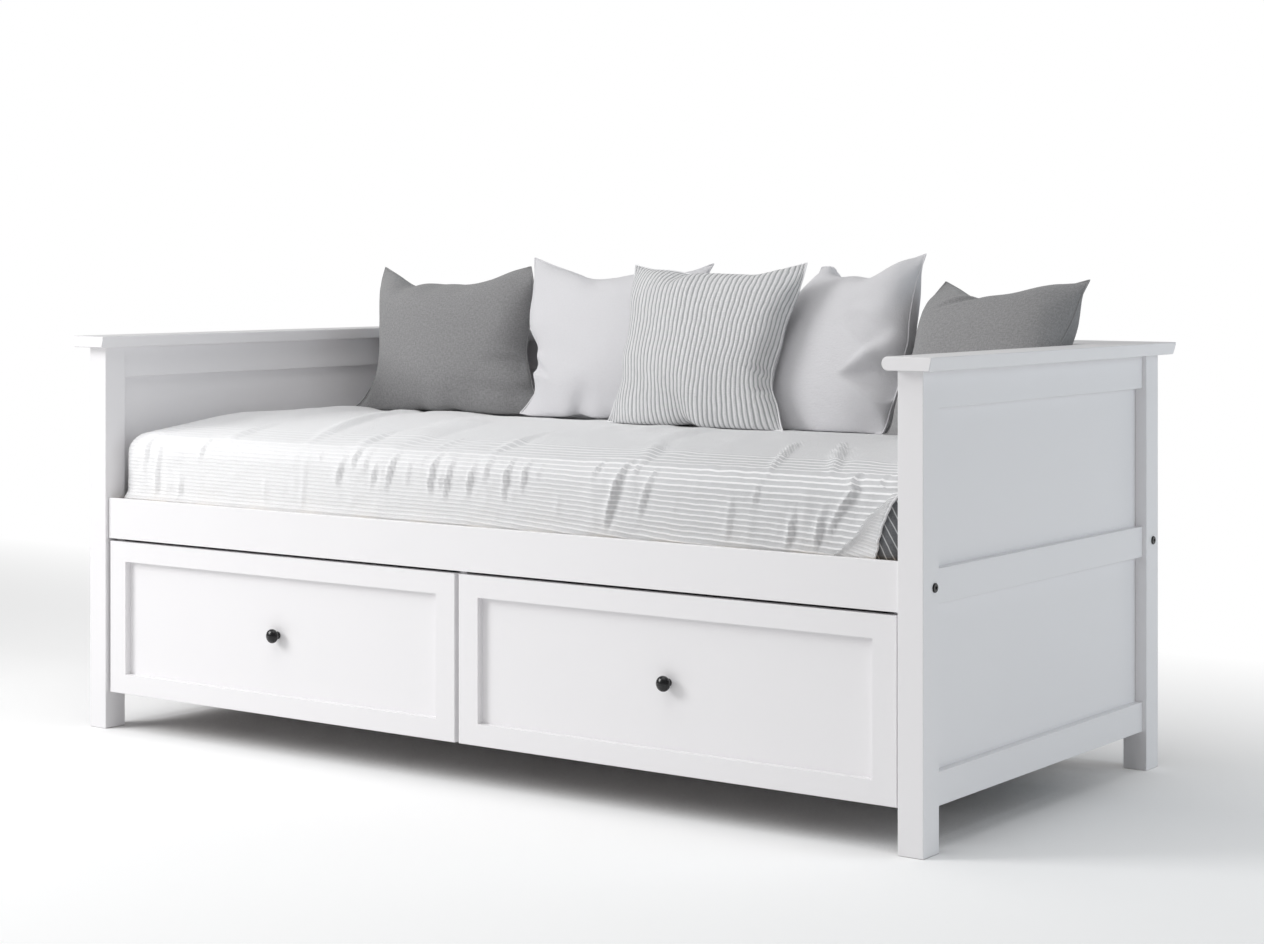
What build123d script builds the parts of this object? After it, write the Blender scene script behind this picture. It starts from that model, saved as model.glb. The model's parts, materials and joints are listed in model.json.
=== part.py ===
from build123d import *
from math import asin, cos, sin
import os

# Four posts carry the frame. X runs along the seat, Y to the back, and the origin lies on
# the floor at the middle of the caps.
frame_length = 2112.0
frame_depth = 982.0
post_width = 51.0
post_depth = 57.0
post_height = 845.0
post_edge_radius = 1.5
post_foot_chamfer = 1.0
cut_overrun = 5.0
quarter_turn = 90.0

# Caps on the three walls
cap_width = 100.0
cap_thickness = 25.0
cap_side_overhang = 30.0
cap_end_overhang = 24.0
cap_nose_height = 14.0
cap_outer_taper = 5.0
cap_inner_taper = 11.0
cap_top_radius = 5.0
cap_nose_radius = 7.0
cap_foot_radius = 3.0

# Framed walls: three rails with two thin panels in grooves
rail_setback = 9.0
rail_thickness = 33.0
rail_edge_radius = 1.0
top_rail_height = 68.0
mid_rail_bottom = 434.0
mid_rail_height = 62.0
bottom_rail_bottom = 79.0
bottom_rail_height = 60.0
tenon_length = 22.0
stub_tenon_length = 10.0
tenon_thickness = 11.0
tenon_shoulder = 9.0
panel_setback = 15.0
panel_thickness = 7.0
panel_insert = 8.0
joint_play = 0.2

# Fixed beam behind the front rail, with the ledge and the slats that stay in place
front_setback = 7.5
front_rail_thickness = 22.0
stop_gap = 0.5
beam_thickness = 22.0
beam_bottom = 443.0
beam_height = 46.0
ledge_width = 30.0
ledge_height = 20.0
slat_thickness = 15.0
slat_gap = 8.0
slat_outer_gap = 21.0
slat_chamfer = 2.0
slat_pairs = 13
slat_end_gap = 3.0
seat_gap = 0.3

# Bolts through the posts and the barrel nuts that they pull on
bolt_diameter = 8.0
bolt_length = 116.0
bolt_head_diameter = 17.0
bolt_head_height = 3.0
bolt_head_bevel = 1.0
socket_across = 6.0
socket_depth = 2.2
bolt_play = 0.3
nut_diameter = 12.0
nut_length = 16.0
nut_inset = 52.0
nut_play = 0.2

# Pull-out front: rail, two gables, divider, castor rails, slats and runners
front_rail_bottom = 422.0
front_rail_height = 89.0
front_rail_end_gap = 1.5
rabbet_depth = 12.0
housing_depth = 8.0
gable_thickness = 18.0
gable_post_gap = 6.0
gable_bottom = 88.0
gable_beam_gap = 2.0
gable_back_gap = 24.0
castor_rail_thickness = 16.0
castor_rail_width = 72.0
runner_height = 20.0
runner_front_inset = 8.0

# Castors under the two castor rails
wheel_diameter = 60.0
wheel_width = 20.0
wheel_edge_bevel = 3.0
wheel_hub_diameter = 22.0
wheel_web_recess = 5.0
wheel_rim_wall = 8.0
wheel_floor_gap = 0.3
axle_diameter = 8.0
axle_play = 0.08
fork_wall = 4.0
fork_side_gap = 1.5
fork_foot_radius = 11.0
fork_top_length = 58.0
front_castor_inset = 363.0
rear_castor_inset = 55.0
castor_side_inset = 140.0

# Drawers: a framed front with a sunk panel, and a box that hangs on the runners
drawer_bottom = 81.0
drawer_top = 416.0
drawer_post_gap = 6.0
drawer_middle_gap = 10.0
drawer_front_thickness = 21.5
drawer_stile_width = 49.0
drawer_rail_width = 43.0
drawer_edge_bevel = 1.0
recess_depth = 15.0
front_panel_thickness = 5.0
front_panel_lap = 9.0
side_thickness = 15.0
side_gap = 5.0
side_bottom = 108.0
side_height = 260.0
box_depth = 600.0
back_board_thickness = 12.0
runner_groove_depth = 8.0
runner_groove_play = 0.4
runner_groove_stop = 8.0
bottom_thickness = 5.0
bottom_inset = 12.0
bottom_groove = 6.0

# Knob: a flattened ball on a neck, with its stud through the sunk panel
knob_diameter = 30.0
knob_projection = 27.0
knob_base_diameter = 16.0
knob_base_height = 1.5
knob_neck_diameter = 12.5
knob_head_thickness = 20.0
knob_rim_radius = 7.0
knob_shoulder_flare = 0.8
knob_stud_diameter = 5.0
knob_stud_length = 12.0

# Bedding on the slats
mattress_end_gap = 10.0
mattress_front_gap = 13.0
mattress_back_gap = 13.5
lower_mattress_thickness = 83.0
upper_mattress_thickness = 89.0
mattress_corner_radius = 34.0
mattress_edge_radius = 20.0
crown_edge_radius = 40.0
crown_radius = 3200.0
crown_shift = 20.0
sheet_thickness = 1.5
sheet_top_tuck = 320.0
sheet_reach = 230.0
spread_thickness = 4.0
spread_hem_gap = 2.7
spread_back_gap = 45.0
fold_depth = 2.4
fold_radius = 26.0
fold_height_shares = (0.06, 0.78)
fold_place_shares = (
    -0.93, -0.84, -0.71, -0.62, -0.47, -0.36, -0.20, -0.07, 0.09, 0.21, 0.38, 0.50, 0.66, 0.80,
)
fold_slant_shares = (
    0.30, -0.16, 0.22, -0.28, 0.12, -0.20, 0.26, -0.10, 0.18, -0.24, 0.14, -0.18, 0.24, 0.30,
)
ripple_radius = 420.0
ripple_depth = 3.0
ripple_shares = ((-0.72, -0.30, 0.16), (-0.20, 0.10, -0.12), (0.34, -0.34, 0.10), (0.72, 0.02, -0.14))
turned_hem_width = 150.0
turned_hem_height = 118.0

# Scatter cushions: place, sizes as shares of one full cushion, then turn and lean as shares of a quarter turn
cushion_width = 500.0
cushion_height = 365.0
cushion_thickness = 150.0
cushion_seam_rise = 6.0
cushion_base_swell_share = 0.05
cushion_side_draw_share = 0.04
cushion_level_shares = (0.0, 0.40, 0.70, 0.91, 1.0)
cushion_corner_shares = (1.0, 0.84, 0.66, 0.45, 0.20)
cushion_middle_shares = (1.0, 0.93, 0.79, 0.57, 0.26)
cushion_place_shares = {
    "left_grey_cushion": (-0.690, 0.570),
    "middle_white_cushion": (-0.222, 0.520),
    "striped_cushion": (0.159, 0.232),
    "right_white_cushion": (0.372, 0.470),
    "right_grey_cushion": (0.790, 0.420),
}
# Lower width, upper width, sideways lean of the top, height, thickness, dip of the upper edge
cushion_size_shares = {
    "left_grey_cushion": (0.99, 0.93, -0.05, 0.98, 0.92, 0.12),
    "middle_white_cushion": (1.00, 1.02, 0.02, 1.02, 0.90, 0.09),
    "striped_cushion": (0.95, 0.90, 0.00, 1.00, 0.92, 0.06),
    "right_white_cushion": (0.86, 0.62, 0.14, 1.06, 0.90, 0.10),
    "right_grey_cushion": (0.76, 0.70, 0.00, 0.96, 0.92, 0.08),
}
cushion_turn_shares = {
    "left_grey_cushion": (0.0, 0.183),
    "middle_white_cushion": (0.0, 0.194),
    "striped_cushion": (-0.033, 0.167),
    "right_white_cushion": (-0.067, 0.244),
    "right_grey_cushion": (-0.044, 0.278),
}

half_length = frame_length / 2
half_depth = frame_depth / 2
post_inner_x = half_length - post_width
post_inner_y = half_depth - post_depth
end_span = 2 * post_inner_y
back_span = 2 * post_inner_x
top_rail_bottom = post_height - top_rail_height
mid_rail_top = mid_rail_bottom + mid_rail_height
bottom_rail_top = bottom_rail_bottom + bottom_rail_height
rail_outer_y = -rail_setback
rail_inner_y = rail_outer_y - rail_thickness
rail_middle_y = (rail_outer_y + rail_inner_y) / 2
panel_outer_y = rail_outer_y - panel_setback
panel_inner_y = panel_outer_y - panel_thickness
front_y = -half_depth + front_setback
front_rail_back_y = front_y + front_rail_thickness
front_rail_top = front_rail_bottom + front_rail_height
beam_front_y = front_rail_back_y + stop_gap
beam_back_y = beam_front_y + beam_thickness
beam_middle_y = (beam_front_y + beam_back_y) / 2
beam_top = beam_bottom + beam_height
bolt_height = beam_bottom + beam_height / 2
back_rail_inner_y = half_depth + rail_inner_y
back_rail_middle_y = half_depth + rail_middle_y
slat_bottom = beam_top + seat_gap
slat_top = slat_bottom + slat_thickness
slat_pitch = (back_span - 2 * slat_outer_gap + slat_gap) / (2 * slat_pairs)
slat_width = slat_pitch - slat_gap
gable_outer_x = post_inner_x - gable_post_gap
gable_inner_x = gable_outer_x - gable_thickness
gable_top = beam_bottom - gable_beam_gap
gable_back_y = back_rail_inner_y - gable_back_gap
divider_half = gable_thickness / 2
castor_rail_top = gable_bottom + castor_rail_thickness
drawer_front_back_y = front_y + drawer_front_thickness
drawer_outer_x = post_inner_x - drawer_post_gap
drawer_inner_x = drawer_middle_gap / 2
recess_y = front_y + recess_depth
box_outer_x = gable_inner_x - side_gap
box_inner_x = divider_half + side_gap
box_back_y = drawer_front_back_y + box_depth
side_top = side_bottom + side_height
box_bottom_z = side_bottom + bottom_inset
box_floor_z = box_bottom_z + bottom_thickness
runner_thickness = side_gap + runner_groove_depth - runner_groove_play
runner_bottom = side_bottom + side_height / 2 - runner_height / 2
axle_height = wheel_diameter / 2 + wheel_floor_gap
front_castor_y = front_y + front_castor_inset
rear_castor_y = gable_back_y - rear_castor_inset
castor_x = gable_outer_x - castor_side_inset
fork_half = wheel_width / 2 + fork_side_gap + fork_wall
lower_mattress_bottom = slat_top + seat_gap
upper_mattress_bottom = lower_mattress_bottom + lower_mattress_thickness + seat_gap
crown_top = upper_mattress_bottom + upper_mattress_thickness
mattress_front_y = front_rail_back_y + mattress_front_gap
mattress_back_y = back_rail_inner_y - mattress_back_gap
mattress_length = back_span - 2 * mattress_end_gap
mattress_width = mattress_back_y - mattress_front_y
spread_grow = 2 * seat_gap + sheet_thickness
seat_grow = spread_grow + spread_thickness
seat_top = crown_top + seat_grow
spread_hem_height = slat_top + spread_hem_gap


def board(x_span, y_span, z_span):
    """A square-edged board between the given limits."""
    size = [max(span) - min(span) for span in (x_span, y_span, z_span)]
    middle = [(span[0] + span[1]) / 2 for span in (x_span, y_span, z_span)]
    return Pos(*middle) * Box(*size)


def rod(start, end, diameter):
    """A round rod between two points that lie on one line along X, Y or Z."""
    axis = Vector(*end) - Vector(*start)
    plane = Plane(origin=start, z_dir=axis)
    return extrude(plane * Circle(diameter / 2), axis.length)


def both_sides(solid):
    """The solid and its mirror image across the middle of the seat."""
    return Compound([solid, mirror(solid, Plane.YZ)])


def wall_rail(length, bottom, height, tongue, groove_below, groove_above):
    """A rail along X with its outer side to +Y, a tenon at each end and panel grooves."""
    half = length / 2
    top = bottom + height
    rail = board((-half, half), (rail_inner_y, rail_outer_y), (bottom, top))
    rail = fillet(rail.edges().filter_by(Axis.X), rail_edge_radius)
    groove_x = (-half - cut_overrun, half + cut_overrun)
    groove_y = (panel_inner_y - joint_play, panel_outer_y + joint_play)
    depth = panel_insert + joint_play
    if groove_below:
        rail -= board(groove_x, groove_y, (bottom - cut_overrun, bottom + depth))
    if groove_above:
        rail -= board(groove_x, groove_y, (top - depth, top + cut_overrun))
    if tongue:
        rail += wall_tenons(length, bottom, height, tongue, 0)
    return rail


def wall_tenons(length, bottom, height, tongue, play):
    """The tenons at both ends of a rail, or with play the mortises that take them."""
    half = length / 2
    y_span = (rail_middle_y - tenon_thickness / 2 - play, rail_middle_y + tenon_thickness / 2 + play)
    z_span = (bottom + tenon_shoulder - play, bottom + height - tenon_shoulder + play)
    reach = tongue + play
    left = board((-half - reach, -half), y_span, z_span)
    right = board((half, half + reach), y_span, z_span)
    return left + right


def wall_panel(length, bottom, top, play):
    """A thin panel that sits in grooves all round, or with play the space that takes it."""
    reach = panel_insert + play
    x_span = (-length / 2 - reach, length / 2 + reach)
    y_span = (panel_inner_y - play, panel_outer_y + play)
    return board(x_span, y_span, (bottom - reach, top + reach))


def wall(length, mid_tongue):
    """The five pieces of one framed wall, in the wall's own frame."""
    return {
        "top_rail": wall_rail(length, top_rail_bottom, top_rail_height, tenon_length, True, False),
        "mid_rail": wall_rail(length, mid_rail_bottom, mid_rail_height, mid_tongue, True, True),
        "bottom_rail": wall_rail(length, bottom_rail_bottom, bottom_rail_height, tenon_length, False, True),
        "upper_panel": wall_panel(length, mid_rail_top, top_rail_bottom, 0),
        "lower_panel": wall_panel(length, bottom_rail_top, mid_rail_bottom, 0),
    }


def wall_pockets(length, mid_tongue):
    """All that one wall takes out of the posts at its ends."""
    pockets = wall_tenons(length, top_rail_bottom, top_rail_height, tenon_length, joint_play)
    pockets += wall_tenons(length, bottom_rail_bottom, bottom_rail_height, tenon_length, joint_play)
    if mid_tongue:
        pockets += wall_tenons(length, mid_rail_bottom, mid_rail_height, mid_tongue, joint_play)
    pockets += wall_panel(length, mid_rail_top, top_rail_bottom, joint_play)
    pockets += wall_panel(length, bottom_rail_top, mid_rail_bottom, joint_play)
    return pockets


back_place = Location((0, half_depth, 0))
right_place = Location((half_length, 0, 0), (0, 0, -quarter_turn))
left_place = Location((-half_length, 0, 0), (0, 0, quarter_turn))


def post(side, rear):
    """One corner post with its mortises, panel grooves and bolt hole."""
    x_span = (side * post_inner_x, side * half_length)
    y_span = (post_inner_y, half_depth) if rear else (-half_depth, -post_inner_y)
    leg = board(x_span, y_span, (0, post_height))
    leg = fillet(leg.edges().filter_by(Axis.Z), post_edge_radius)
    leg = chamfer(leg.faces().sort_by(Axis.Z)[0].edges(), post_foot_chamfer)
    end_place = right_place if side > 0 else left_place
    leg -= end_place * wall_pockets(end_span, stub_tenon_length)
    bolt_y = back_rail_middle_y if rear else beam_middle_y
    if rear:
        leg -= back_place * wall_pockets(back_span, 0)
    hole_start = (side * (post_inner_x - cut_overrun), bolt_y, bolt_height)
    hole_end = (side * (half_length + cut_overrun), bolt_y, bolt_height)
    return leg - rod(hole_start, hole_end, bolt_diameter + 2 * bolt_play)


def cap_profile():
    """Section of a cap: flat on top, rounded at both noses and drawn in below them."""
    outline = [
        (-cap_outer_taper, 0),
        (0, cap_nose_height),
        (0, cap_thickness),
        (-cap_width, cap_thickness),
        (-cap_width, cap_nose_height),
        (-cap_width + cap_inner_taper, 0),
    ]
    section = make_face(Polyline(*outline, close=True))
    feet = section.vertices().filter_by_position(Axis.Y, 0, 0)
    section = fillet(feet, cap_foot_radius)
    noses = section.vertices().filter_by_position(Axis.Y, cap_nose_height, cap_nose_height)
    section = fillet(noses, cap_nose_radius)
    tops = section.vertices().filter_by_position(Axis.Y, cap_thickness, cap_thickness)
    return fillet(tops, cap_top_radius)


def mitre_wedge(behind):
    """The prism behind the right mitre, or the one in front of it, from below the cap to above it."""
    corner_x = half_length + cap_side_overhang
    corner_y = half_depth + cap_end_overhang
    inner = (corner_x - cap_width - cut_overrun, corner_y - cap_width - cut_overrun)
    outer = (corner_x + cut_overrun, corner_y + cut_overrun)
    third = (inner[0], outer[1]) if behind else (outer[0], inner[1])
    base = Pos(0, 0, post_height - cut_overrun) * make_face(Polyline(inner, outer, third, close=True))
    return extrude(base, cap_thickness + 2 * cut_overrun)


def end_cap():
    """The right end cap, square at the front and mitred at the back."""
    corner_x = half_length + cap_side_overhang
    reach = half_depth + cap_end_overhang
    front = Plane(origin=(corner_x, -reach, post_height), x_dir=(1, 0, 0), z_dir=(0, -1, 0))
    bar = extrude(front * cap_profile(), -2 * reach)
    return bar - mitre_wedge(True)


def back_cap():
    """The back cap, mitred at both ends."""
    corner_x = half_length + cap_side_overhang
    corner_y = half_depth + cap_end_overhang
    end = Plane(origin=(corner_x, corner_y, post_height), x_dir=(0, 1, 0), z_dir=(1, 0, 0))
    bar = extrude(end * cap_profile(), -2 * corner_x)
    wedge = mitre_wedge(False)
    return bar - wedge - mirror(wedge, Plane.YZ)


def bolt(side, y):
    """A bolt along X with a low black head that has a hexagon socket."""
    seat_x = side * half_length
    head_x = seat_x + side * bolt_head_height
    head = rod((seat_x, y, bolt_height), (head_x, y, bolt_height), bolt_head_diameter)
    head = chamfer(head.edges().sort_by(Axis.X)[-1 if side > 0 else 0], bolt_head_bevel)
    face = Plane(origin=(head_x, y, bolt_height), z_dir=(-side, 0, 0))
    socket = extrude(face * RegularPolygon(socket_across / 2, 6, major_radius=False), socket_depth)
    shank = rod((seat_x, y, bolt_height), (seat_x - side * bolt_length, y, bolt_height), bolt_diameter)
    return head + shank - socket


def nut_hole(side, y_start, y_end, play):
    """A barrel nut across a beam, or with play the hole that takes it."""
    x = side * (post_inner_x - nut_inset)
    return rod((x, y_start, bolt_height), (x, y_end, bolt_height), nut_diameter + 2 * play)


def barrel_nut(side, y):
    """One barrel nut with the hole that its bolt screws through."""
    nut = nut_hole(side, y - nut_length / 2, y + nut_length / 2, 0)
    x = side * (post_inner_x - nut_inset)
    reach = nut_diameter
    hole = rod((x - reach, y, bolt_height), (x + reach, y, bolt_height), bolt_diameter + nut_play)
    return nut - hole


def bored_for_bolts(beam, y, open_y):
    """A beam with a bolt hole in each end and a nut hole from its hidden side."""
    for side in (-1, 1):
        start = (side * (post_inner_x + cut_overrun), y, bolt_height)
        end = (side * (half_length - bolt_length - bolt_play), y, bolt_height)
        beam -= rod(start, end, bolt_diameter + 2 * bolt_play)
        blind = y - nut_length / 2 - nut_play if open_y > y else y + nut_length / 2 + nut_play
        beam -= nut_hole(side, blind, open_y, nut_play)
    return beam


def inner_front_beam():
    """The fixed beam behind the front rail."""
    beam = board((-post_inner_x, post_inner_x), (beam_front_y, beam_back_y), (beam_bottom, beam_top))
    beam = fillet(beam.edges().filter_by(Axis.X), rail_edge_radius)
    return bored_for_bolts(beam, beam_middle_y, beam_back_y + cut_overrun)


def back_slat_ledge():
    """The strip on the back rail that carries the back ends of the slats."""
    y_span = (back_rail_inner_y - ledge_width, back_rail_inner_y)
    return board((-post_inner_x, post_inner_x), y_span, (beam_top - ledge_height, beam_top))


def slat(x, y_span, bottom):
    """One slat along Y with its two upper edges taken off."""
    half = slat_width / 2
    top = bottom + slat_thickness
    outline = [
        (x - half, bottom),
        (x + half, bottom),
        (x + half, top - slat_chamfer),
        (x + half - slat_chamfer, top),
        (x - half + slat_chamfer, top),
        (x - half, top - slat_chamfer),
    ]
    plane = Plane(origin=(0, y_span[0], 0), x_dir=(1, 0, 0), z_dir=(0, -1, 0))
    return extrude(plane * make_face(Polyline(*outline, close=True)), -(y_span[1] - y_span[0]))


def slats(first, y_span, bottom):
    """Every second slat across the seat, starting with the given one."""
    start = slat_pitch / 2 - slat_pairs * slat_pitch
    places = [start + n * slat_pitch for n in range(first, 2 * slat_pairs, 2)]
    return Compound([slat(x, y_span, bottom) for x in places])


def front_rail():
    """The front rail, with a rabbet for the slats and housings for gables and divider."""
    half = post_inner_x - front_rail_end_gap
    rail = board((-half, half), (front_y, front_rail_back_y), (front_rail_bottom, front_rail_top))
    rail = fillet(rail.edges().filter_by(Axis.X), rail_edge_radius)
    rabbet_x = (-half - cut_overrun, half + cut_overrun)
    rabbet_y = (front_rail_back_y - rabbet_depth, front_rail_back_y + cut_overrun)
    rail -= board(rabbet_x, rabbet_y, (slat_bottom, front_rail_top + cut_overrun))
    housing_y = (front_rail_back_y - housing_depth - joint_play, front_rail_back_y + cut_overrun)
    housing_z = (front_rail_bottom - cut_overrun, gable_top + joint_play)
    for middle in (-gable_outer_x + divider_half, 0, gable_outer_x - divider_half):
        housing_x = (middle - divider_half - joint_play, middle + divider_half + joint_play)
        rail -= board(housing_x, housing_y, housing_z)
    return rail


def upright(middle, bottom):
    """A gable or the divider: one board with a tongue up into the front rail."""
    outline = [
        (front_rail_back_y, bottom),
        (gable_back_y, bottom),
        (gable_back_y, gable_top),
        (front_rail_back_y - housing_depth, gable_top),
        (front_rail_back_y - housing_depth, front_rail_bottom),
        (front_rail_back_y, front_rail_bottom),
    ]
    plane = Plane(origin=(middle - divider_half, 0, 0), x_dir=(0, 1, 0), z_dir=(1, 0, 0))
    return extrude(plane * make_face(Polyline(*outline, close=True)), gable_thickness)


def castor_rails():
    """The two flat rails between the gables that carry the castors and the divider."""
    half = castor_rail_width / 2
    x_span = (-gable_inner_x, gable_inner_x)
    z_span = (gable_bottom, castor_rail_top)
    return Compound([board(x_span, (y - half, y + half), z_span) for y in (front_castor_y, rear_castor_y)])


def runner(wall_x, inward):
    """One runner strip on a gable or on the divider."""
    y_span = (front_rail_back_y + runner_front_inset, box_back_y)
    z_span = (runner_bottom, runner_bottom + runner_height)
    return board((wall_x, wall_x + inward * runner_thickness), y_span, z_span)


def cabinet_runners():
    """The four runner strips that the drawers hang on."""
    return both_sides(Compound([runner(gable_inner_x, -1), runner(divider_half, 1)]))


def castor_fork(y):
    """A fork with its top plate, two tapered cheeks and the axle across them."""
    half_inner = fork_half - fork_wall
    half_top = fork_top_length / 2
    side = Plane(origin=(castor_x - fork_half, y, 0), x_dir=(0, 1, 0), z_dir=(1, 0, 0))
    cheek = make_face(Polyline(
        (-half_top, gable_bottom),
        (-fork_foot_radius, axle_height),
        (fork_foot_radius, axle_height),
        (half_top, gable_bottom),
        close=True,
    ))
    cheek += Pos(0, axle_height) * Circle(fork_foot_radius)
    fork = extrude(side * cheek, 2 * fork_half)
    y_span = (y - half_top - cut_overrun, y + half_top + cut_overrun)
    fork -= board((castor_x - half_inner, castor_x + half_inner), y_span, (0, gable_bottom - fork_wall))
    ends = (castor_x - half_inner, y, axle_height), (castor_x + half_inner, y, axle_height)
    return fork + rod(*ends, axle_diameter)


def castor_wheel(y):
    """A wheel with a bevelled tread, a sunk web on both sides and a bored hub."""
    half = wheel_width / 2
    web_half = half - wheel_web_recess
    radius = wheel_diameter / 2
    bore = axle_diameter / 2 + axle_play
    hub = wheel_hub_diameter / 2
    rim = radius - wheel_rim_wall
    outline = [
        (bore, -half), (hub, -half), (hub, -web_half), (rim, -web_half), (rim, -half), (radius, -half),
        (radius, half), (rim, half), (rim, web_half), (hub, web_half), (hub, half), (bore, half),
    ]
    section = make_face(Polyline(*outline, close=True))
    tread = section.vertices().filter_by_position(Axis.X, radius, radius)
    section = chamfer(tread, wheel_edge_bevel)
    plane = Plane(origin=(castor_x, y, axle_height), x_dir=(0, 0, 1), z_dir=(0, 1, 0))
    return revolve(plane * section, Axis((castor_x, y, axle_height), (1, 0, 0)))


def drawer_front_frame():
    """The right drawer's front: one ring with eased edges and a rabbet for its panel."""
    x_span = (drawer_inner_x, drawer_outer_x)
    frame = board(x_span, (front_y, drawer_front_back_y), (drawer_bottom, drawer_top))
    frame = chamfer(frame.faces().sort_by(Axis.Y)[0].edges(), drawer_edge_bevel)
    open_x = (drawer_inner_x + drawer_stile_width, drawer_outer_x - drawer_stile_width)
    open_z = (drawer_bottom + drawer_rail_width, drawer_top - drawer_rail_width)
    frame -= board(open_x, (front_y - cut_overrun, drawer_front_back_y + cut_overrun), open_z)
    lap = front_panel_lap + joint_play
    lap_x = (open_x[0] - lap, open_x[1] + lap)
    lap_z = (open_z[0] - lap, open_z[1] + lap)
    return frame - board(lap_x, (recess_y, drawer_front_back_y + cut_overrun), lap_z)


def drawer_front_panel():
    """The right drawer's sunk panel with the hole for the knob's stud."""
    inset = drawer_stile_width - front_panel_lap
    x_span = (drawer_inner_x + inset, drawer_outer_x - inset)
    rise = drawer_rail_width - front_panel_lap
    z_span = (drawer_bottom + rise, drawer_top - rise)
    panel = board(x_span, (recess_y, recess_y + front_panel_thickness), z_span)
    x, y, z = knob_place()
    start = (x, y - cut_overrun, z)
    end = (x, y + front_panel_thickness + cut_overrun, z)
    return panel - rod(start, end, knob_stud_diameter + joint_play)


def knob_place():
    """Where the right drawer's knob meets its panel."""
    return ((drawer_inner_x + drawer_outer_x) / 2, recess_y, (drawer_bottom + drawer_top) / 2)


def knob():
    """The right drawer's knob, a flattened ball on a waisted neck, turned with its stud.

    The crown and the underside are parts of one ball size, and the rim's round meets both smoothly.
    """
    widest = knob_diameter / 2
    neck = knob_neck_diameter / 2
    base = knob_base_diameter / 2
    stud = knob_stud_diameter / 2
    shoulder = neck + knob_shoulder_flare
    half = knob_head_thickness / 2
    middle = knob_projection - half
    rim_x = widest - knob_rim_radius
    slack = half - knob_rim_radius
    drop = (rim_x ** 2 - slack ** 2) / (2 * slack)
    ball = half + drop
    rim_turn = asin(rim_x / (ball - knob_rim_radius))
    neck_turn = asin(shoulder / ball)
    under_turn = (neck_turn + rim_turn) / 2
    joint = (ball * sin(rim_turn), ball * cos(rim_turn) - drop)
    collar = (shoulder, middle + drop - ball * cos(neck_turn))
    waist = (neck, (knob_base_height + collar[1]) / 2)
    below = (ball * sin(under_turn), middle + drop - ball * cos(under_turn))
    above = (ball * sin(rim_turn / 2), middle - drop + ball * cos(rim_turn / 2))
    low_joint = (joint[0], middle - joint[1])
    high_joint = (joint[0], middle + joint[1])
    outline = Curve() + [
        Polyline((stud, 0), (base, 0), (base, knob_base_height)),
        ThreePointArc((base, knob_base_height), waist, collar),
        ThreePointArc(collar, below, low_joint),
        ThreePointArc(low_joint, (widest, middle), high_joint),
        ThreePointArc(high_joint, above, (0, knob_projection)),
        Polyline((0, knob_projection), (0, -knob_stud_length), (stud, -knob_stud_length), (stud, 0)),
    ]
    place = knob_place()
    plane = Plane(origin=place, x_dir=(1, 0, 0), z_dir=(0, 0, -1))
    return revolve(plane * make_face(outline), Axis(place, (0, -1, 0)))


def drawer_side(outer_x, inward):
    """A side board with the groove for its runner and the groove for the bottom."""
    inner_x = outer_x + inward * side_thickness
    side = board((outer_x, inner_x), (drawer_front_back_y, box_back_y), (side_bottom, side_top))
    groove_x = (outer_x - inward * cut_overrun, outer_x + inward * runner_groove_depth)
    groove_y = (drawer_front_back_y + runner_groove_stop, box_back_y + cut_overrun)
    groove_z = (runner_bottom - runner_groove_play, runner_bottom + runner_height + seat_gap)
    side -= board(groove_x, groove_y, groove_z)
    floor_x = (inner_x - inward * (bottom_groove + joint_play), inner_x + inward * cut_overrun)
    floor_y = (drawer_front_back_y - cut_overrun, box_back_y + cut_overrun)
    return side - board(floor_x, floor_y, (box_bottom_z - joint_play, box_floor_z + joint_play))


def drawer_back():
    """The right drawer's back board, standing on the bottom."""
    x_span = (box_inner_x + side_thickness, box_outer_x - side_thickness)
    return board(x_span, (box_back_y - back_board_thickness, box_back_y), (box_floor_z, side_top))


def drawer_floor():
    """The right drawer's bottom, in the grooves of both sides."""
    inset = side_thickness - bottom_groove
    x_span = (box_inner_x + inset, box_outer_x - inset)
    return board(x_span, (drawer_front_back_y, box_back_y), (box_bottom_z, box_floor_z))


def right_drawer():
    """All pieces of the right drawer."""
    return {
        "front_frame": drawer_front_frame(),
        "front_panel": drawer_front_panel(),
        "outer_side": drawer_side(box_outer_x, -1),
        "inner_side": drawer_side(box_inner_x, 1),
        "back": drawer_back(),
        "bottom": drawer_floor(),
        "knob": knob(),
    }


def crown_roll(grow):
    """The wide roll whose top is the bed's gentle crown, grown outwards."""
    place = Pos(0, crown_shift, crown_top - crown_radius) * Rot(0, quarter_turn, 0)
    return place * Cylinder(crown_radius + grow, frame_length)


def bedding_block(grow, bottom):
    """The crowned shape of the upper mattress, grown on every side but the bottom."""
    half = mattress_length / 2 + grow
    y_span = (mattress_front_y - grow, mattress_back_y + grow)
    block = board((-half, half), y_span, (bottom, crown_top + grow + cut_overrun))
    block = fillet(block.edges().filter_by(Axis.Z), mattress_corner_radius + grow)
    block = block & crown_roll(grow)
    return fillet(block.faces().sort_by(Axis.Z)[-1].edges(), crown_edge_radius + grow)


def lower_mattress():
    """The lower mattress, flat, with rounded corners and edges."""
    x_span = (-mattress_length / 2, mattress_length / 2)
    z_span = (lower_mattress_bottom, lower_mattress_bottom + lower_mattress_thickness)
    block = board(x_span, (mattress_front_y, mattress_back_y), z_span)
    block = fillet(block.edges().filter_by(Axis.Z), mattress_corner_radius)
    rims = block.faces().sort_by(Axis.Z)
    return fillet(rims[0].edges() + rims[-1].edges(), mattress_edge_radius)


def upper_mattress():
    """The upper mattress with its crowned top."""
    block = bedding_block(0, upper_mattress_bottom)
    return fillet(block.faces().sort_by(Axis.Z)[0].edges(), mattress_edge_radius)


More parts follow.
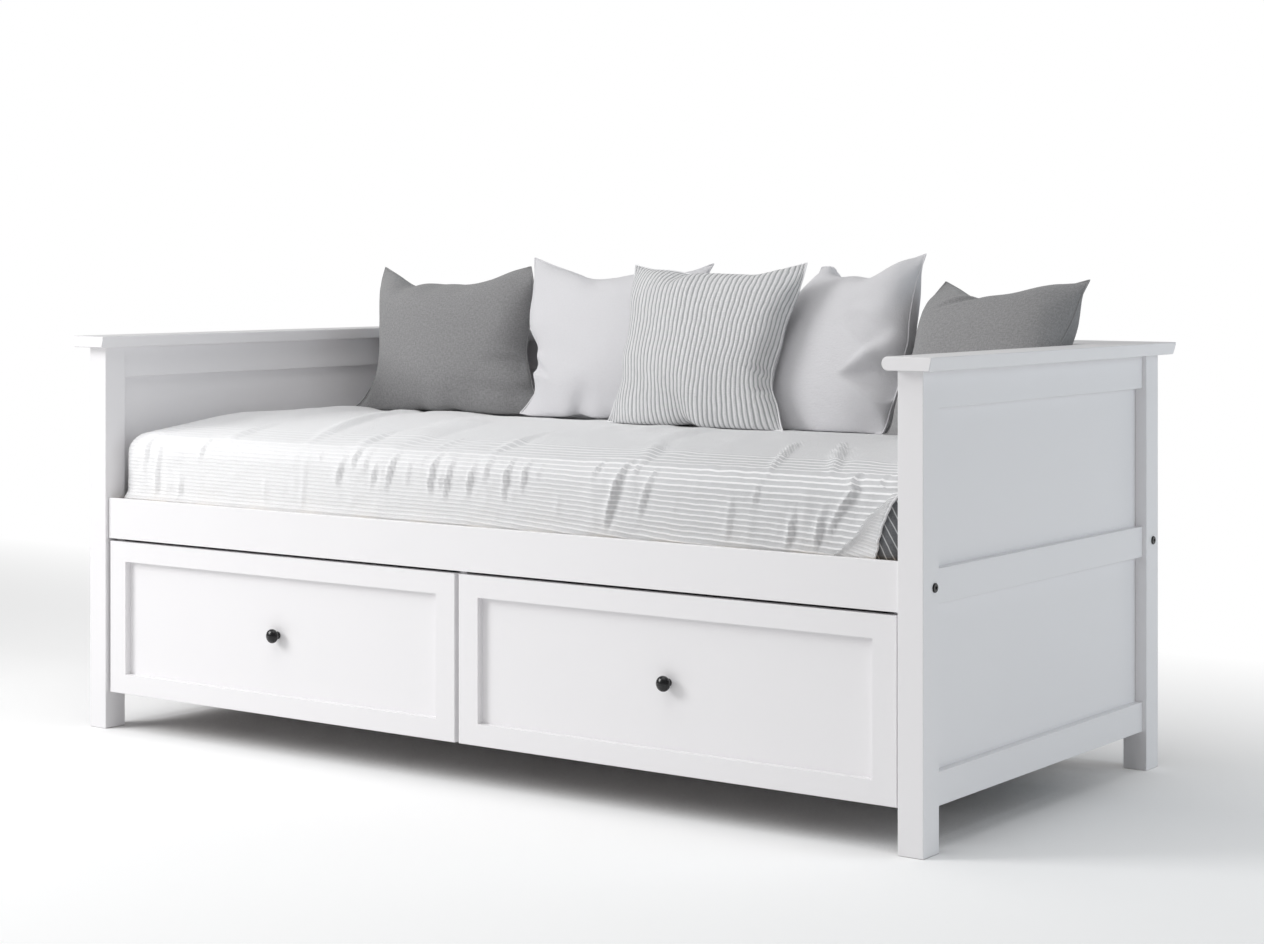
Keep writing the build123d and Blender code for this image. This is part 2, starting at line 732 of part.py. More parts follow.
def covering(grow, thickness):
    """A cloth of even thickness over the bed's crown and down its four sides."""
    outer = bedding_block(grow + thickness, spread_hem_height)
    return outer - bedding_block(grow, spread_hem_height - cut_overrun)


def striped_sheet():
    """The sheet under the spread, as it wraps the front right corner of the mattress."""
    x_span = (mattress_length / 2 - sheet_reach, half_length)
    y_span = (-half_depth, mattress_front_y + sheet_top_tuck)
    return covering(seat_gap, sheet_thickness) & board(x_span, y_span, (0, post_height))


def front_fold(place_share, slant_share, front):
    """One shallow upright fold in the front of the spread, as the rod that presses it in."""
    drop = seat_top - spread_hem_height
    low = spread_hem_height + drop * fold_height_shares[0]
    high = spread_hem_height + drop * fold_height_shares[1]
    x = place_share * mattress_length / 2
    centre_y = front - fold_radius + fold_depth
    start = Vector(x, centre_y, low)
    end = Vector(x + slant_share * (high - low), centre_y, high)
    axis = end - start
    return extrude(Plane(origin=start, z_dir=axis) * Circle(fold_radius), axis.length)


def long_ripple(along_share, across_share, turn_share):
    """One long shallow fold in the top of the spread, as the roll that presses it in."""
    x = along_share * mattress_length / 2
    y = across_share * mattress_width / 2
    fall = (y - crown_shift) ** 2 / (2 * crown_radius)
    z = seat_top - fall + ripple_radius - ripple_depth
    place = Pos(x, y, z) * Rot(0, 0, turn_share * quarter_turn) * Rot(0, quarter_turn, 0)
    return place * Cylinder(ripple_radius, mattress_width / 2)


def bedspread():
    """The spread: crowned on top, folded at the front, its hem turned back at one corner."""
    cloth = covering(spread_grow, spread_thickness)
    front = mattress_front_y - seat_grow
    for place_share, slant_share in zip(fold_place_shares, fold_slant_shares):
        cloth -= front_fold(place_share, slant_share, front)
    for shares in ripple_shares:
        cloth -= long_ripple(*shares)
    right = mattress_length / 2 + spread_thickness + cut_overrun
    corner = Polyline(
        (right, spread_hem_height - cut_overrun),
        (right, spread_hem_height + turned_hem_height),
        (right - turned_hem_width, spread_hem_height - cut_overrun),
        close=True,
    )
    plane = Plane(origin=(0, front - cut_overrun, 0), x_dir=(1, 0, 0), z_dir=(0, -1, 0))
    corner_depth = mattress_corner_radius + seat_grow + 2 * cut_overrun
    cloth -= extrude(plane * make_face(corner), -corner_depth)
    back = mattress_back_y - spread_back_gap
    return cloth & board((-half_length, half_length), (-half_depth, back), (0, post_height))


def cushion_outline(low_width, high_width, shift, height, top_dip_share, corner_share, middle_share):
    """A closed outline of four arcs, swelling at the base and drawn in elsewhere, shrunk to a share."""
    centre = (shift / 2, height / 2)
    tips = [
        (-low_width / 2, 0),
        (low_width / 2, 0),
        (high_width / 2 + shift, height),
        (-high_width / 2 + shift, height),
    ]
    draws = (-cushion_base_swell_share, cushion_side_draw_share, top_dip_share, cushion_side_draw_share)
    corners = [tuple(c + corner_share * (p - c) for p, c in zip(tip, centre)) for tip in tips]
    arcs = []
    for n, draw in enumerate(draws):
        following = (n + 1) % 4
        middle = [(a + b) / 2 for a, b in zip(tips[n], tips[following])]
        drawn = [c + (1 - 2 * draw) * middle_share * (m - c) for m, c in zip(middle, centre)]
        arcs.append(ThreePointArc(corners[n], tuple(drawn), corners[following]))
    return make_face(Wire(arcs))


def cushion(name):
    """A crowned cushion between a front and a back half that meet in a seam."""
    place_share, depth_share = cushion_place_shares[name]
    low_share, high_share, shift_share, height_share, thick_share, top_dip_share = cushion_size_shares[name]
    turn_share, lean_share = cushion_turn_shares[name]
    widths = (low_share * cushion_width, high_share * cushion_width)
    shift = shift_share * cushion_width
    height = height_share * cushion_height
    half = thick_share * cushion_thickness / 2
    levels = zip(cushion_level_shares, cushion_corner_shares, cushion_middle_shares)
    sections = []
    for level, corner_share, middle_share in levels:
        outline = cushion_outline(*widths, shift, height, top_dip_share, corner_share, middle_share)
        sections.append(Pos(0, 0, level * half) * outline)
    front = loft(sections)
    body = front + mirror(front, Plane.XY)
    x = place_share * mattress_length / 2
    y = depth_share * half_depth
    fall = (y - crown_shift) ** 2 / (2 * crown_radius)
    place = Location((x, y, seat_top - fall + cushion_seam_rise), (0, 0, turn_share * quarter_turn))
    standing = place * Rot((1 - lean_share) * quarter_turn, 0, 0) * body
    return standing - crown_roll(seat_grow + seat_gap)


def build():
    """All nodes of the sofa bed by name."""
    nodes = {
        "front_left_post": post(-1, False),
        "front_right_post": post(1, False),
        "rear_left_post": post(-1, True),
        "rear_right_post": post(1, True),
        "right_end_cap": end_cap(),
        "left_end_cap": mirror(end_cap(), Plane.YZ),
        "back_cap": back_cap(),
    }
    for name, piece in wall(end_span, stub_tenon_length).items():
        nodes["right_end_" + name] = right_place * piece
        nodes["left_end_" + name] = left_place * piece
    for name, piece in wall(back_span, 0).items():
        nodes["back_" + name] = back_place * piece
    back_open_y = back_rail_inner_y - cut_overrun
    nodes["back_mid_rail"] = bored_for_bolts(nodes["back_mid_rail"], back_rail_middle_y, back_open_y)
    bolts = [bolt(side, y) for side in (-1, 1) for y in (beam_middle_y, back_rail_middle_y)]
    nuts = [barrel_nut(side, y) for side in (-1, 1) for y in (beam_middle_y, back_rail_middle_y)]
    nodes["frame_bolts"] = Compound(bolts)
    nodes["barrel_nuts"] = Compound(nuts)
    nodes["inner_front_beam"] = inner_front_beam()
    nodes["back_slat_ledge"] = back_slat_ledge()
    slat_back_y = back_rail_inner_y - slat_end_gap
    nodes["fixed_slats"] = slats(0, (beam_front_y + slat_end_gap, slat_back_y), beam_top)
    moving_front_y = front_rail_back_y - rabbet_depth + joint_play
    nodes["moving_slats"] = slats(1, (moving_front_y, slat_back_y), slat_bottom)
    nodes["front_rail"] = front_rail()
    nodes["right_gable"] = upright(gable_outer_x - divider_half, gable_bottom)
    nodes["left_gable"] = upright(-gable_outer_x + divider_half, gable_bottom)
    nodes["centre_divider"] = upright(0, castor_rail_top)
    nodes["castor_rails"] = castor_rails()
    nodes["cabinet_runners"] = cabinet_runners()
    nodes["castor_forks"] = both_sides(Compound([castor_fork(front_castor_y), castor_fork(rear_castor_y)]))
    nodes["front_castor_wheels"] = both_sides(castor_wheel(front_castor_y))
    nodes["rear_castor_wheels"] = both_sides(castor_wheel(rear_castor_y))
    for name, piece in right_drawer().items():
        nodes["right_drawer_" + name] = piece
        nodes["left_drawer_" + name] = mirror(piece, Plane.YZ)
    nodes["lower_mattress"] = lower_mattress()
    nodes["upper_mattress"] = upper_mattress()
    nodes["striped_sheet"] = striped_sheet()
    nodes["bedspread"] = bedspread()
    for name in cushion_place_shares:
        nodes[name] = cushion(name)
    return nodes


os.makedirs("parts", exist_ok=True)
for node_name, node_shape in build().items():
    export_step(node_shape, os.path.join("parts", node_name + ".step"))
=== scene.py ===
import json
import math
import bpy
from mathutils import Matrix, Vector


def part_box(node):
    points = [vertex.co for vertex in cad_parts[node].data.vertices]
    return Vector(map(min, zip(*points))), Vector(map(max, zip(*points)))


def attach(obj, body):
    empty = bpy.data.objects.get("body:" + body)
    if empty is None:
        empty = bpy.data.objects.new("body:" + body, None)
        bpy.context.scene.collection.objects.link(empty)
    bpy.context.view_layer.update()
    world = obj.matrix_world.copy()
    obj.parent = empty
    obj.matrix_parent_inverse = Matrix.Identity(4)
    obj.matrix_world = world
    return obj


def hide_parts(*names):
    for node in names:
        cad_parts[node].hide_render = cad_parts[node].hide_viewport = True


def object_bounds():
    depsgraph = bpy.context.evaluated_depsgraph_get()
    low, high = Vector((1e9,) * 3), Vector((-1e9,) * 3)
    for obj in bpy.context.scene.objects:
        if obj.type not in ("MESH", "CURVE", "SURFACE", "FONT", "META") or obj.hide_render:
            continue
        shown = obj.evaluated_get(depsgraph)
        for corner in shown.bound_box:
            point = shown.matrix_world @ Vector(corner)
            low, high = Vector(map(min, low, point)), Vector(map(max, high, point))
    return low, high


bl_info = {
    "name": "Sofa Bed With Two Drawers",
    "version": (1, 0, 0),
    "blender": (4, 5, 0),
    "location": "3D View > Sidebar > Sofa Bed",
    "description": "Dresses the frame of a sofa bed with bedding, cushions, finishes and a studio",
    "category": "Object",
}

import bmesh
import bpy
import numpy as np
from bpy.props import FloatProperty, FloatVectorProperty, IntProperty, PointerProperty
from mathutils import Vector, noise

# All lengths are in metres, in the frame of the CAD
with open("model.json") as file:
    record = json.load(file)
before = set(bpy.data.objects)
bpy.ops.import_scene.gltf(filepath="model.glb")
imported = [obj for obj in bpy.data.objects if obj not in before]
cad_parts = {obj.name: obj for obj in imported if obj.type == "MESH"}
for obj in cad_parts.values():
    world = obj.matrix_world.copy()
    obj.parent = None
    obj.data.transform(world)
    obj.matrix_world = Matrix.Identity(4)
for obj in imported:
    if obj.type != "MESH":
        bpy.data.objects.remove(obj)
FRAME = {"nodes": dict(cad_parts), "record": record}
LOADED_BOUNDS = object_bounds()
SPREAD_LOW, SPREAD_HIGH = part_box("bedspread")
SHEET_LOW, SHEET_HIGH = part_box("striped_sheet")
CAP_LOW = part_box("back_cap")[0]
BACK_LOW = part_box("back_top_rail")[0]
RAIL_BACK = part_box("front_rail")[1].y + 0.0008

# The bed's crown: its radius and the depth of its highest line
CROWN_RADIUS, CROWN_MIDDLE = 3.2, 0.020

# Round edges of the spread and of the sheet
SPREAD_RADIUS, SHEET_RADIUS = 0.047, 0.038

# Heights on the spread's front: where its right edge starts to be drawn back, where the turned hem
# starts and where the cloth round the right corner ends
DRAWN_HEIGHT, HEM_HEIGHT, CUT_HEIGHT = 0.641, 0.634, 0.628
PUCKER_PITCH = 0.0085
HEM_RADIUS = 0.0026

# The caps' width, the chamfer at the front of the end caps and the play in the mitres
CAP_WIDTH, CAP_CHAMFER, MITRE_PLAY = 0.100, 0.0015, 0.0001

# Slats and how far their screws stand from a slat's ends and from its middle
SLAT_COUNT, SLAT_WIDTH, SLAT_EDGE = 13, 0.068, 0.003
SCREW_FROM_END, SCREW_FROM_MIDDLE = 0.012, 0.017

# Mattress edges: round corners in plan and round edges below
MATTRESS_CORNER, MATTRESS_FOOT = 0.034, 0.020

# Ease of a cushion's cover over the distance of its tips, and the flat ears at the tips
COVER_EASE, EAR_FLATNESS, EAR_SIZE = 1.04, 0.82, 0.050

# How far back the floor starts to fade to white and where it is white
FLOOR_FADE = (0.15, 1.9)
CAMERA_SHIFT = -0.16536


# Small helpers for meshes, pieces and node trees


def mesh_piece(name, points, faces, flat_coords=None):
    """A new mesh object at the origin, with an optional cloth map of one place for each point."""
    mesh = bpy.data.meshes.new(name)
    mesh.from_pydata([tuple(p) for p in points], [], faces)
    mesh.update()
    if flat_coords is not None:
        layer = mesh.uv_layers.new(name="cloth")
        index = np.zeros(len(mesh.loops), np.int32)
        mesh.loops.foreach_get("vertex_index", index)
        layer.data.foreach_set("uv", np.asarray(flat_coords, np.float32)[index].ravel())
    mesh.polygons.foreach_set("use_smooth", [True] * len(mesh.polygons))
    piece = bpy.data.objects.new(name, mesh)
    bpy.context.scene.collection.objects.link(piece)
    return piece


def baked(piece):
    """The piece with its modifiers made real, under the same name."""
    depsgraph = bpy.context.evaluated_depsgraph_get()
    mesh = bpy.data.meshes.new_from_object(
        piece.evaluated_get(depsgraph), preserve_all_data_layers=True, depsgraph=depsgraph)
    piece.modifiers.clear()
    piece.data = mesh
    return piece


def outward(piece):
    """Turns every face of a closed mesh outwards, after its doubles are merged."""
    shape = bmesh.new()
    shape.from_mesh(piece.data)
    bmesh.ops.remove_doubles(shape, verts=shape.verts, dist=1e-6)
    bmesh.ops.recalc_face_normals(shape, faces=shape.faces)
    shape.to_mesh(piece.data)
    shape.free()
    return piece


def points_of(piece):
    """The piece's points as an array."""
    mesh = piece.data
    points = np.zeros(len(mesh.vertices) * 3, np.float32)
    mesh.vertices.foreach_get("co", points)
    return points.reshape(-1, 3).astype(float)


def set_points(piece, points):
    """Writes an array of places back to the piece."""
    piece.data.vertices.foreach_set("co", np.asarray(points, np.float32).ravel())
    piece.data.update()


def ring_faces(count, rings):
    """The faces of a closed body of so many rings with so many points each, with both its ends."""
    faces = []
    for a in range(0, (rings - 1) * count, count):
        for n in range(count):
            m = (n + 1) % count
            faces.append((a + n, a + m, a + count + m, a + count + n))
    last = (rings - 1) * count
    return faces + [tuple(range(count))[::-1], tuple(range(last, last + count))]


def dress(piece, slot):
    """Gives the piece the finish of its slot, and no other."""
    piece.data.materials.clear()
    piece.data.materials.append(material_named(slot))


def finish_piece(piece, body, slot):
    """Gives the piece its body, its slot and its finish."""
    dress(piece, slot)
    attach(piece, body)


def smooth_noise(x, y, z, scale, seed):
    """Soft noise from -1 to 1 at each place, the same on every run."""
    offset = Vector((seed * 7.31, seed * 3.17, seed * 5.71))
    return np.array([noise.noise(Vector(place) / scale + offset) for place in zip(x, y, z)])


def bed_top(y):
    """Height of the spread's crown at a depth."""
    return SPREAD_HIGH.z - (y - CROWN_MIDDLE) ** 2 / (2 * CROWN_RADIUS)


class NodeMaker:
    """Adds nodes to a tree and links them in one line each."""

    def __init__(self, tree):
        self.tree = tree

    def put(self, socket, value):
        if isinstance(value, bpy.types.NodeSocket):
            self.tree.links.new(value, socket)
        else:
            socket.default_value = value

    def feed(self, sockets, **values):
        for key, value in values.items():
            self.put(sockets[key.replace("_", " ")], value)

    def add(self, kind, settings=None, **inputs):
        node = self.tree.nodes.new(kind)
        for key, value in (settings or {}).items():
            setattr(node, key, value)
        self.feed(node.inputs, **inputs)
        return node

    def math(self, operation, *values):
        node = self.add("ShaderNodeMath", {"operation": operation})
        for socket, value in zip(node.inputs, values):
            self.put(socket, value)
        return node.outputs[0]

    def ramp(self, value, low, high, from_low=0.0, from_high=1.0):
        node = self.add("ShaderNodeMapRange", {"clamp": True}, Value=value, From_Min=from_low,
                        From_Max=from_high, To_Min=low, To_Max=high)
        return node.outputs["Result"]

    def mix(self, factor, first, second, blend="MIX"):
        node = self.add("ShaderNodeMix", {"data_type": "RGBA", "blend_type": blend}, Factor=factor)
        self.put(node.inputs[6], first)
        self.put(node.inputs[7], second)
        return node.outputs[2]

    def stretched(self, vector, factors):
        node = self.add("ShaderNodeVectorMath", {"operation": "MULTIPLY"})
        self.put(node.inputs[0], vector)
        self.put(node.inputs[1], factors)
        return node.outputs[0]

    def split(self, vector):
        return self.add("ShaderNodeSeparateXYZ", Vector=vector).outputs

    def noise(self, vector, scale, detail, **more):
        node = self.add("ShaderNodeTexNoise", Vector=vector, Scale=scale, Detail=detail, **more)
        return node.outputs["Fac"]

    def group(self, name, **inputs):
        return self.add("ShaderNodeGroup", {"node_tree": group_named(name)}, **inputs).outputs


def open_tree(kind, name, inputs, outputs):
    """The maker and the two ends of a new node tree with named sockets. The kind of an input
    follows its default: None stands for a vector, and a word for a kind without a default."""
    tree = bpy.data.node_groups.new(name, kind)
    kinds = {float: "Float", int: "Int", tuple: "Color", type(None): "Vector"}
    for label, default in inputs.items():
        word = default if isinstance(default, str) else kinds[type(default)]
        socket = tree.interface.new_socket(name=label, in_out="INPUT", socket_type="NodeSocket" + word)
        if isinstance(default, (float, int, tuple)):
            socket.default_value = default
    for label, word in outputs.items():
        tree.interface.new_socket(name=label, in_out="OUTPUT", socket_type="NodeSocket" + word)
    return NodeMaker(tree), tree.nodes.new("NodeGroupInput").outputs, tree.nodes.new("NodeGroupOutput").inputs


def rgba(colour):
    """The colour with full cover."""
    return (*colour, 1.0)


# Shader node groups


def paint_film_group():
    """Sprayed paint: a faint change of tone and the orange-peel height of the film."""
    maker, source, target = open_tree(
        "ShaderNodeTree", "Paint Film",
        {"Vector": None, "Paint": (0.8, 0.8, 0.8, 1.0), "Tone Change": 0.02, "Grain Size": 240.0},
        {"Color": "Color", "Height": "Float", "Roughness Change": "Float"},
    )
    cloud = maker.noise(source["Vector"], 2.3, 3.0)
    centred = maker.math("SUBTRACT", cloud, 0.5)
    amount = maker.math("MULTIPLY_ADD", centred, source["Tone Change"], 1.0)
    scaled = maker.add("ShaderNodeVectorMath", {"operation": "SCALE"}, Scale=amount)
    maker.put(scaled.inputs[0], source["Paint"])
    maker.feed(target, Color=scaled.outputs[0], Roughness_Change=maker.ramp(cloud, -0.04, 0.04),
               Height=maker.noise(source["Vector"], source["Grain Size"], 2.0))
    return maker.tree


def weave_group():
    """Plain weave from the cloth map: threads over and under, slubs and a heathered tone."""
    maker, source, target = open_tree(
        "ShaderNodeTree", "Plain Weave",
        {"Vector": None, "Yarn": (0.6, 0.6, 0.6, 1.0), "Second Yarn": (0.5, 0.5, 0.5, 1.0),
         "Threads Per Metre": 900.0, "Slub": 0.5},
        {"Color": "Color", "Height": "Float"},
    )
    place = maker.split(source["Vector"])
    waves, tones = [], []
    for axis, stretch in (("X", (0.35, 1.0, 1.0)), ("Y", (1.0, 0.35, 1.0))):
        along = maker.math("MULTIPLY", place[axis], source["Threads Per Metre"])
        waves.append(maker.math("SINE", maker.math("MULTIPLY", along, math.pi)))
        tones.append(maker.noise(maker.stretched(source["Vector"], stretch), 430.0, 3.0))
    slub = maker.ramp(maker.math("ADD", *tones), 0.0, 1.0, 0.72, 1.28)
    blend = maker.math("MULTIPLY_ADD", maker.math("SUBTRACT", slub, 0.5), source["Slub"], 0.5)
    crossing = maker.math("MULTIPLY", *waves)
    maker.feed(target, Color=maker.mix(blend, source["Yarn"], source["Second Yarn"]),
               Height=maker.math("MULTIPLY_ADD", crossing, 0.35, slub))
    return maker.tree


def crumple_group():
    """Small creases in worn cloth, as a height."""
    maker, source, target = open_tree(
        "ShaderNodeTree", "Cloth Crumple", {"Vector": None, "Size": 9.0}, {"Height": "Float"})
    soft = maker.noise(source["Vector"], source["Size"], 4.0, Distortion=0.6)
    crease = maker.math("ABSOLUTE", maker.math("SUBTRACT", soft, 0.5))
    maker.feed(target, Height=maker.ramp(crease, 0.0, 1.0, 0.0, 0.16))
    return maker.tree


def wood_grain_group():
    """Softwood along Y: growth rings, fine fibres and a change of tone from board to board."""
    maker, source, target = open_tree(
        "ShaderNodeTree", "Softwood Grain",
        {"Vector": None, "Pale": (0.66, 0.53, 0.37, 1.0), "Dark": (0.50, 0.36, 0.22, 1.0)},
        {"Color": "Color", "Height": "Float"},
    )
    rings = maker.add("ShaderNodeTexWave", {"wave_type": "RINGS", "rings_direction": "Y"},
                      Vector=maker.stretched(source["Vector"], (1.0, 0.06, 1.0)),
                      Scale=11.0, Distortion=5.0, Detail=3.0, Detail_Scale=2.0)
    fibre = maker.noise(maker.stretched(source["Vector"], (1.0, 0.02, 1.0)), 380.0, 3.0)
    ringed = maker.math("MULTIPLY", rings.outputs["Fac"], 0.6)
    amount = maker.math("MULTIPLY_ADD", fibre, 0.35, ringed)
    maker.feed(target, Color=maker.mix(amount, source["Pale"], source["Dark"]), Height=fibre)
    return maker.tree


def stripe_group():
    """Stripes along one direction of the cloth map, with a soft edge and a little wander."""
    maker, source, target = open_tree(
        "ShaderNodeTree", "Woven Stripes",
        {"Vector": None, "Pitch": 0.009, "Width Share": 0.3, "Wander": 0.0006},
        {"Stripe": "Float", "Ridge": "Float"},
    )
    wander = maker.math("SUBTRACT", maker.noise(source["Vector"], 26.0, 2.0), 0.5)
    across = maker.split(source["Vector"])["X"]
    moved = maker.math("MULTIPLY_ADD", wander, source["Wander"], across)
    phase = maker.math("FRACT", maker.math("DIVIDE", moved, source["Pitch"]))
    distance = maker.math("ABSOLUTE", maker.math("SUBTRACT", phase, 0.5))
    half = maker.math("MULTIPLY", source["Width Share"], 0.5)
    inner, outer = maker.math("SUBTRACT", half, 0.05), maker.math("ADD", half, 0.05)
    turn = maker.math("MULTIPLY", distance, 2 * math.pi)
    maker.feed(target, Stripe=maker.ramp(distance, 1.0, 0.0, inner, outer), Ridge=maker.math("COSINE", turn))
    return maker.tree


GROUP_MAKERS = {
    "Paint Film": paint_film_group,
    "Plain Weave": weave_group,
    "Cloth Crumple": crumple_group,
    "Softwood Grain": wood_grain_group,
    "Woven Stripes": stripe_group,
}


def group_named(name):
    """The node group, built on its first use."""
    return bpy.data.node_groups.get(name) or GROUP_MAKERS[name]()


# Materials


class Finish(NodeMaker):
    """A slot's material with one Principled shader, while its nodes are being added."""

    def __init__(self, name, **constants):
        self.material = bpy.data.materials.new(name + "_finish")
        self.material.use_nodes = True
        super().__init__(self.material.node_tree)
        self.shader = self.tree.nodes["Principled BSDF"]
        self.feed(self.shader.inputs, **constants)

    def place(self):
        return self.add("ShaderNodeTexCoord").outputs["Object"]

    def cloth_map(self):
        return self.add("ShaderNodeUVMap", {"uv_map": "cloth"}).outputs["UV"]

    def stripes(self, place, pitch, share, wander):
        return self.group("Woven Stripes", Vector=place, Pitch=pitch, Width_Share=share, Wander=wander)

    def weave(self, place, yarn, second, slub, threads=900.0):
        return self.group("Plain Weave", Vector=place, Yarn=rgba(yarn), Second_Yarn=rgba(second),
                          Slub=slub, Threads_Per_Metre=threads)

    def crumple(self, place, size):
        return self.group("Cloth Crumple", Vector=place, Size=size)["Height"]

    def done(self, colour, height, distance, strength=1.0, **more):
        """Feeds the shader its colour, its bump and what more there is, and returns the material."""
        bump = self.add("ShaderNodeBump", Height=height, Distance=distance, Strength=strength)
        self.feed(self.shader.inputs, Base_Color=colour, Normal=bump.outputs["Normal"], **more)
        return self.material


def film_material(name, colour, roughness, grain, change=0.02, distance=0.00006, **shine):
    """Furniture paint or moulded plastic, with the faint changes of its film."""
    finish = Finish(name, **shine)
    film = finish.group("Paint Film", Vector=finish.place(), Paint=rgba(colour),
                        Tone_Change=change, Grain_Size=grain)
    rough = finish.math("ADD", film["Roughness Change"], roughness)
    return finish.done(film["Color"], film["Height"], distance, Roughness=rough)


def pine_material(name):
    """Bare softwood."""
    finish = Finish(name, Roughness=0.62)
    grain = finish.group("Softwood Grain", Vector=finish.place())
    return finish.done(grain["Color"], grain["Height"], 0.00015)


def metal_material(name, colour, roughness, **shine):
    """A turned or pressed metal part with a faintly uneven polish."""
    finish = Finish(name, Coat_Roughness=0.20, **shine)
    cloud = finish.noise(finish.place(), 90.0, 3.0)
    dull = rgba(0.7 * c for c in colour)
    tone = finish.mix(finish.math("MULTIPLY", cloud, 0.4), rgba(colour), dull)
    rough = finish.ramp(cloud, roughness - 0.05, roughness + 0.08)
    return finish.done(tone, cloud, 0.00003, Roughness=rough)


def cloth_material(name, yarn, second, slub, bump, threads=900.0, sheen=0.15, roughness=0.9,
                   stripes=None, stripe_colour=None, slant=0, ridge=0.0, crumple=0.0, mapped=True):
    """A woven cloth with the stripes, the ridges between them and the creases that it has. The
    stripes are (pitch, share of it, wander), and the bump is (distance, strength)."""
    finish = Finish(name, Roughness=roughness, Sheen_Weight=sheen, Sheen_Roughness=0.5)
    place = finish.cloth_map() if mapped else finish.place()
    weave = finish.weave(place, yarn, second, slub, threads)
    tone, height = weave["Color"], weave["Height"]
    if stripes:
        turned = place
        if slant:
            turn = (0.0, 0.0, math.radians(slant))
            turned = finish.add("ShaderNodeMapping", Vector=place, Rotation=turn).outputs[0]
        pattern = finish.stripes(turned, *stripes)
        tone = finish.mix(pattern["Stripe"], tone, rgba(stripe_colour))
        if ridge:
            height = finish.math("MULTIPLY_ADD", pattern["Ridge"], ridge, height)
    if crumple:
        height = finish.math("MULTIPLY_ADD", finish.crumple(place, 7.0), crumple, height)
    return finish.done(tone, height, *bump)


def ribbed_material(name):
    """The spread: pale grey cotton with white ribs along the bed, a paler turned hem and painted shade that
    darkens it towards the right.
    """
    finish = Finish(name, Roughness=0.9, Sheen_Weight=0.15, Sheen_Roughness=0.5)
    place = finish.cloth_map()
    ways = finish.split(place)
    turned = finish.add("ShaderNodeCombineXYZ", X=ways["Y"], Y=ways["X"]).outputs[0]
    ribs = finish.stripes(turned, 0.0088, 0.28, 0.003)
    fine = finish.math("MULTIPLY", finish.stripes(turned, 0.0022, 0.5, 0.001)["Stripe"], 0.3)
    weave = finish.weave(place, (0.94, 0.94, 0.95), (0.86, 0.86, 0.87), 0.5)
    lined = finish.mix(fine, weave["Color"], (0.95, 0.95, 0.96, 1.0))
    # Painted shade: the ground is multiplied towards a grey of 0.70 from the left of the bed to its right end
    along = finish.ramp(ways["X"], 0.0, 1.0, -0.6, 0.65)
    painted_shade_to_right = finish.mix(along, lined, (0.70, 0.705, 0.71, 1.0), "MULTIPLY")
    hem = finish.add("ShaderNodeAttribute", {"attribute_name": "turned_hem"}).outputs["Fac"]
    ground = finish.mix(finish.math("MULTIPLY", hem, 0.55), painted_shade_to_right, (0.96, 0.96, 0.97, 1.0))
    tone = finish.mix(ribs["Stripe"], ground, (0.97, 0.97, 0.98, 1.0))
    folds = finish.math("MULTIPLY_ADD", finish.crumple(place, 5.0), 1.4, weave["Height"])
    height = finish.math("MULTIPLY_ADD", ribs["Ridge"], 0.7, folds)
    return finish.done(tone, height, 0.0009, 0.6)


def floor_material(colour):
    """A pale floor that keeps the bed's cast shadow, with painted shade from ambient occlusion darkening it
    near the bed where it is seen, and fades to white further off.
    """
    finish = Finish("studio_floor", Roughness=0.9, Specular_IOR_Level=0.0)
    path = finish.add("ShaderNodeLightPath").outputs
    other = finish.math("MAXIMUM", path["Is Glossy Ray"], path["Is Transmission Ray"])
    seen = finish.math("MAXIMUM", path["Is Camera Ray"], other)
    far = finish.ramp(finish.split(finish.place())["Y"], 0.0, 1.0, *FLOOR_FADE)
    # Painted shade: under and beside the bed the seen floor colour goes towards a brownish grey as ambient
    # occlusion closes in
    near = finish.add("ShaderNodeAmbientOcclusion", {"samples": 8}, Distance=0.30)
    open_sky = finish.ramp(near.outputs["AO"], 0.0, 1.0, 0.03, 0.50)
    painted_shade_colour = finish.mix(open_sky, (0.37, 0.350, 0.338, 1.0), (1.0, 1.0, 1.0, 1.0))
    finish.feed(finish.shader.inputs, Base_Color=finish.mix(seen, rgba(colour), painted_shade_colour))
    glow = finish.add("ShaderNodeEmission", Color=(1.0, 1.0, 1.0, 1.0), Strength=1.0)
    blend = finish.add("ShaderNodeMixShader", Fac=finish.math("MULTIPLY", seen, far))
    finish.put(blend.inputs[1], finish.shader.outputs[0])
    finish.put(blend.inputs[2], glow.outputs[0])
    finish.feed(finish.tree.nodes["Material Output"].inputs, Surface=blend.outputs[0])
    return finish.material


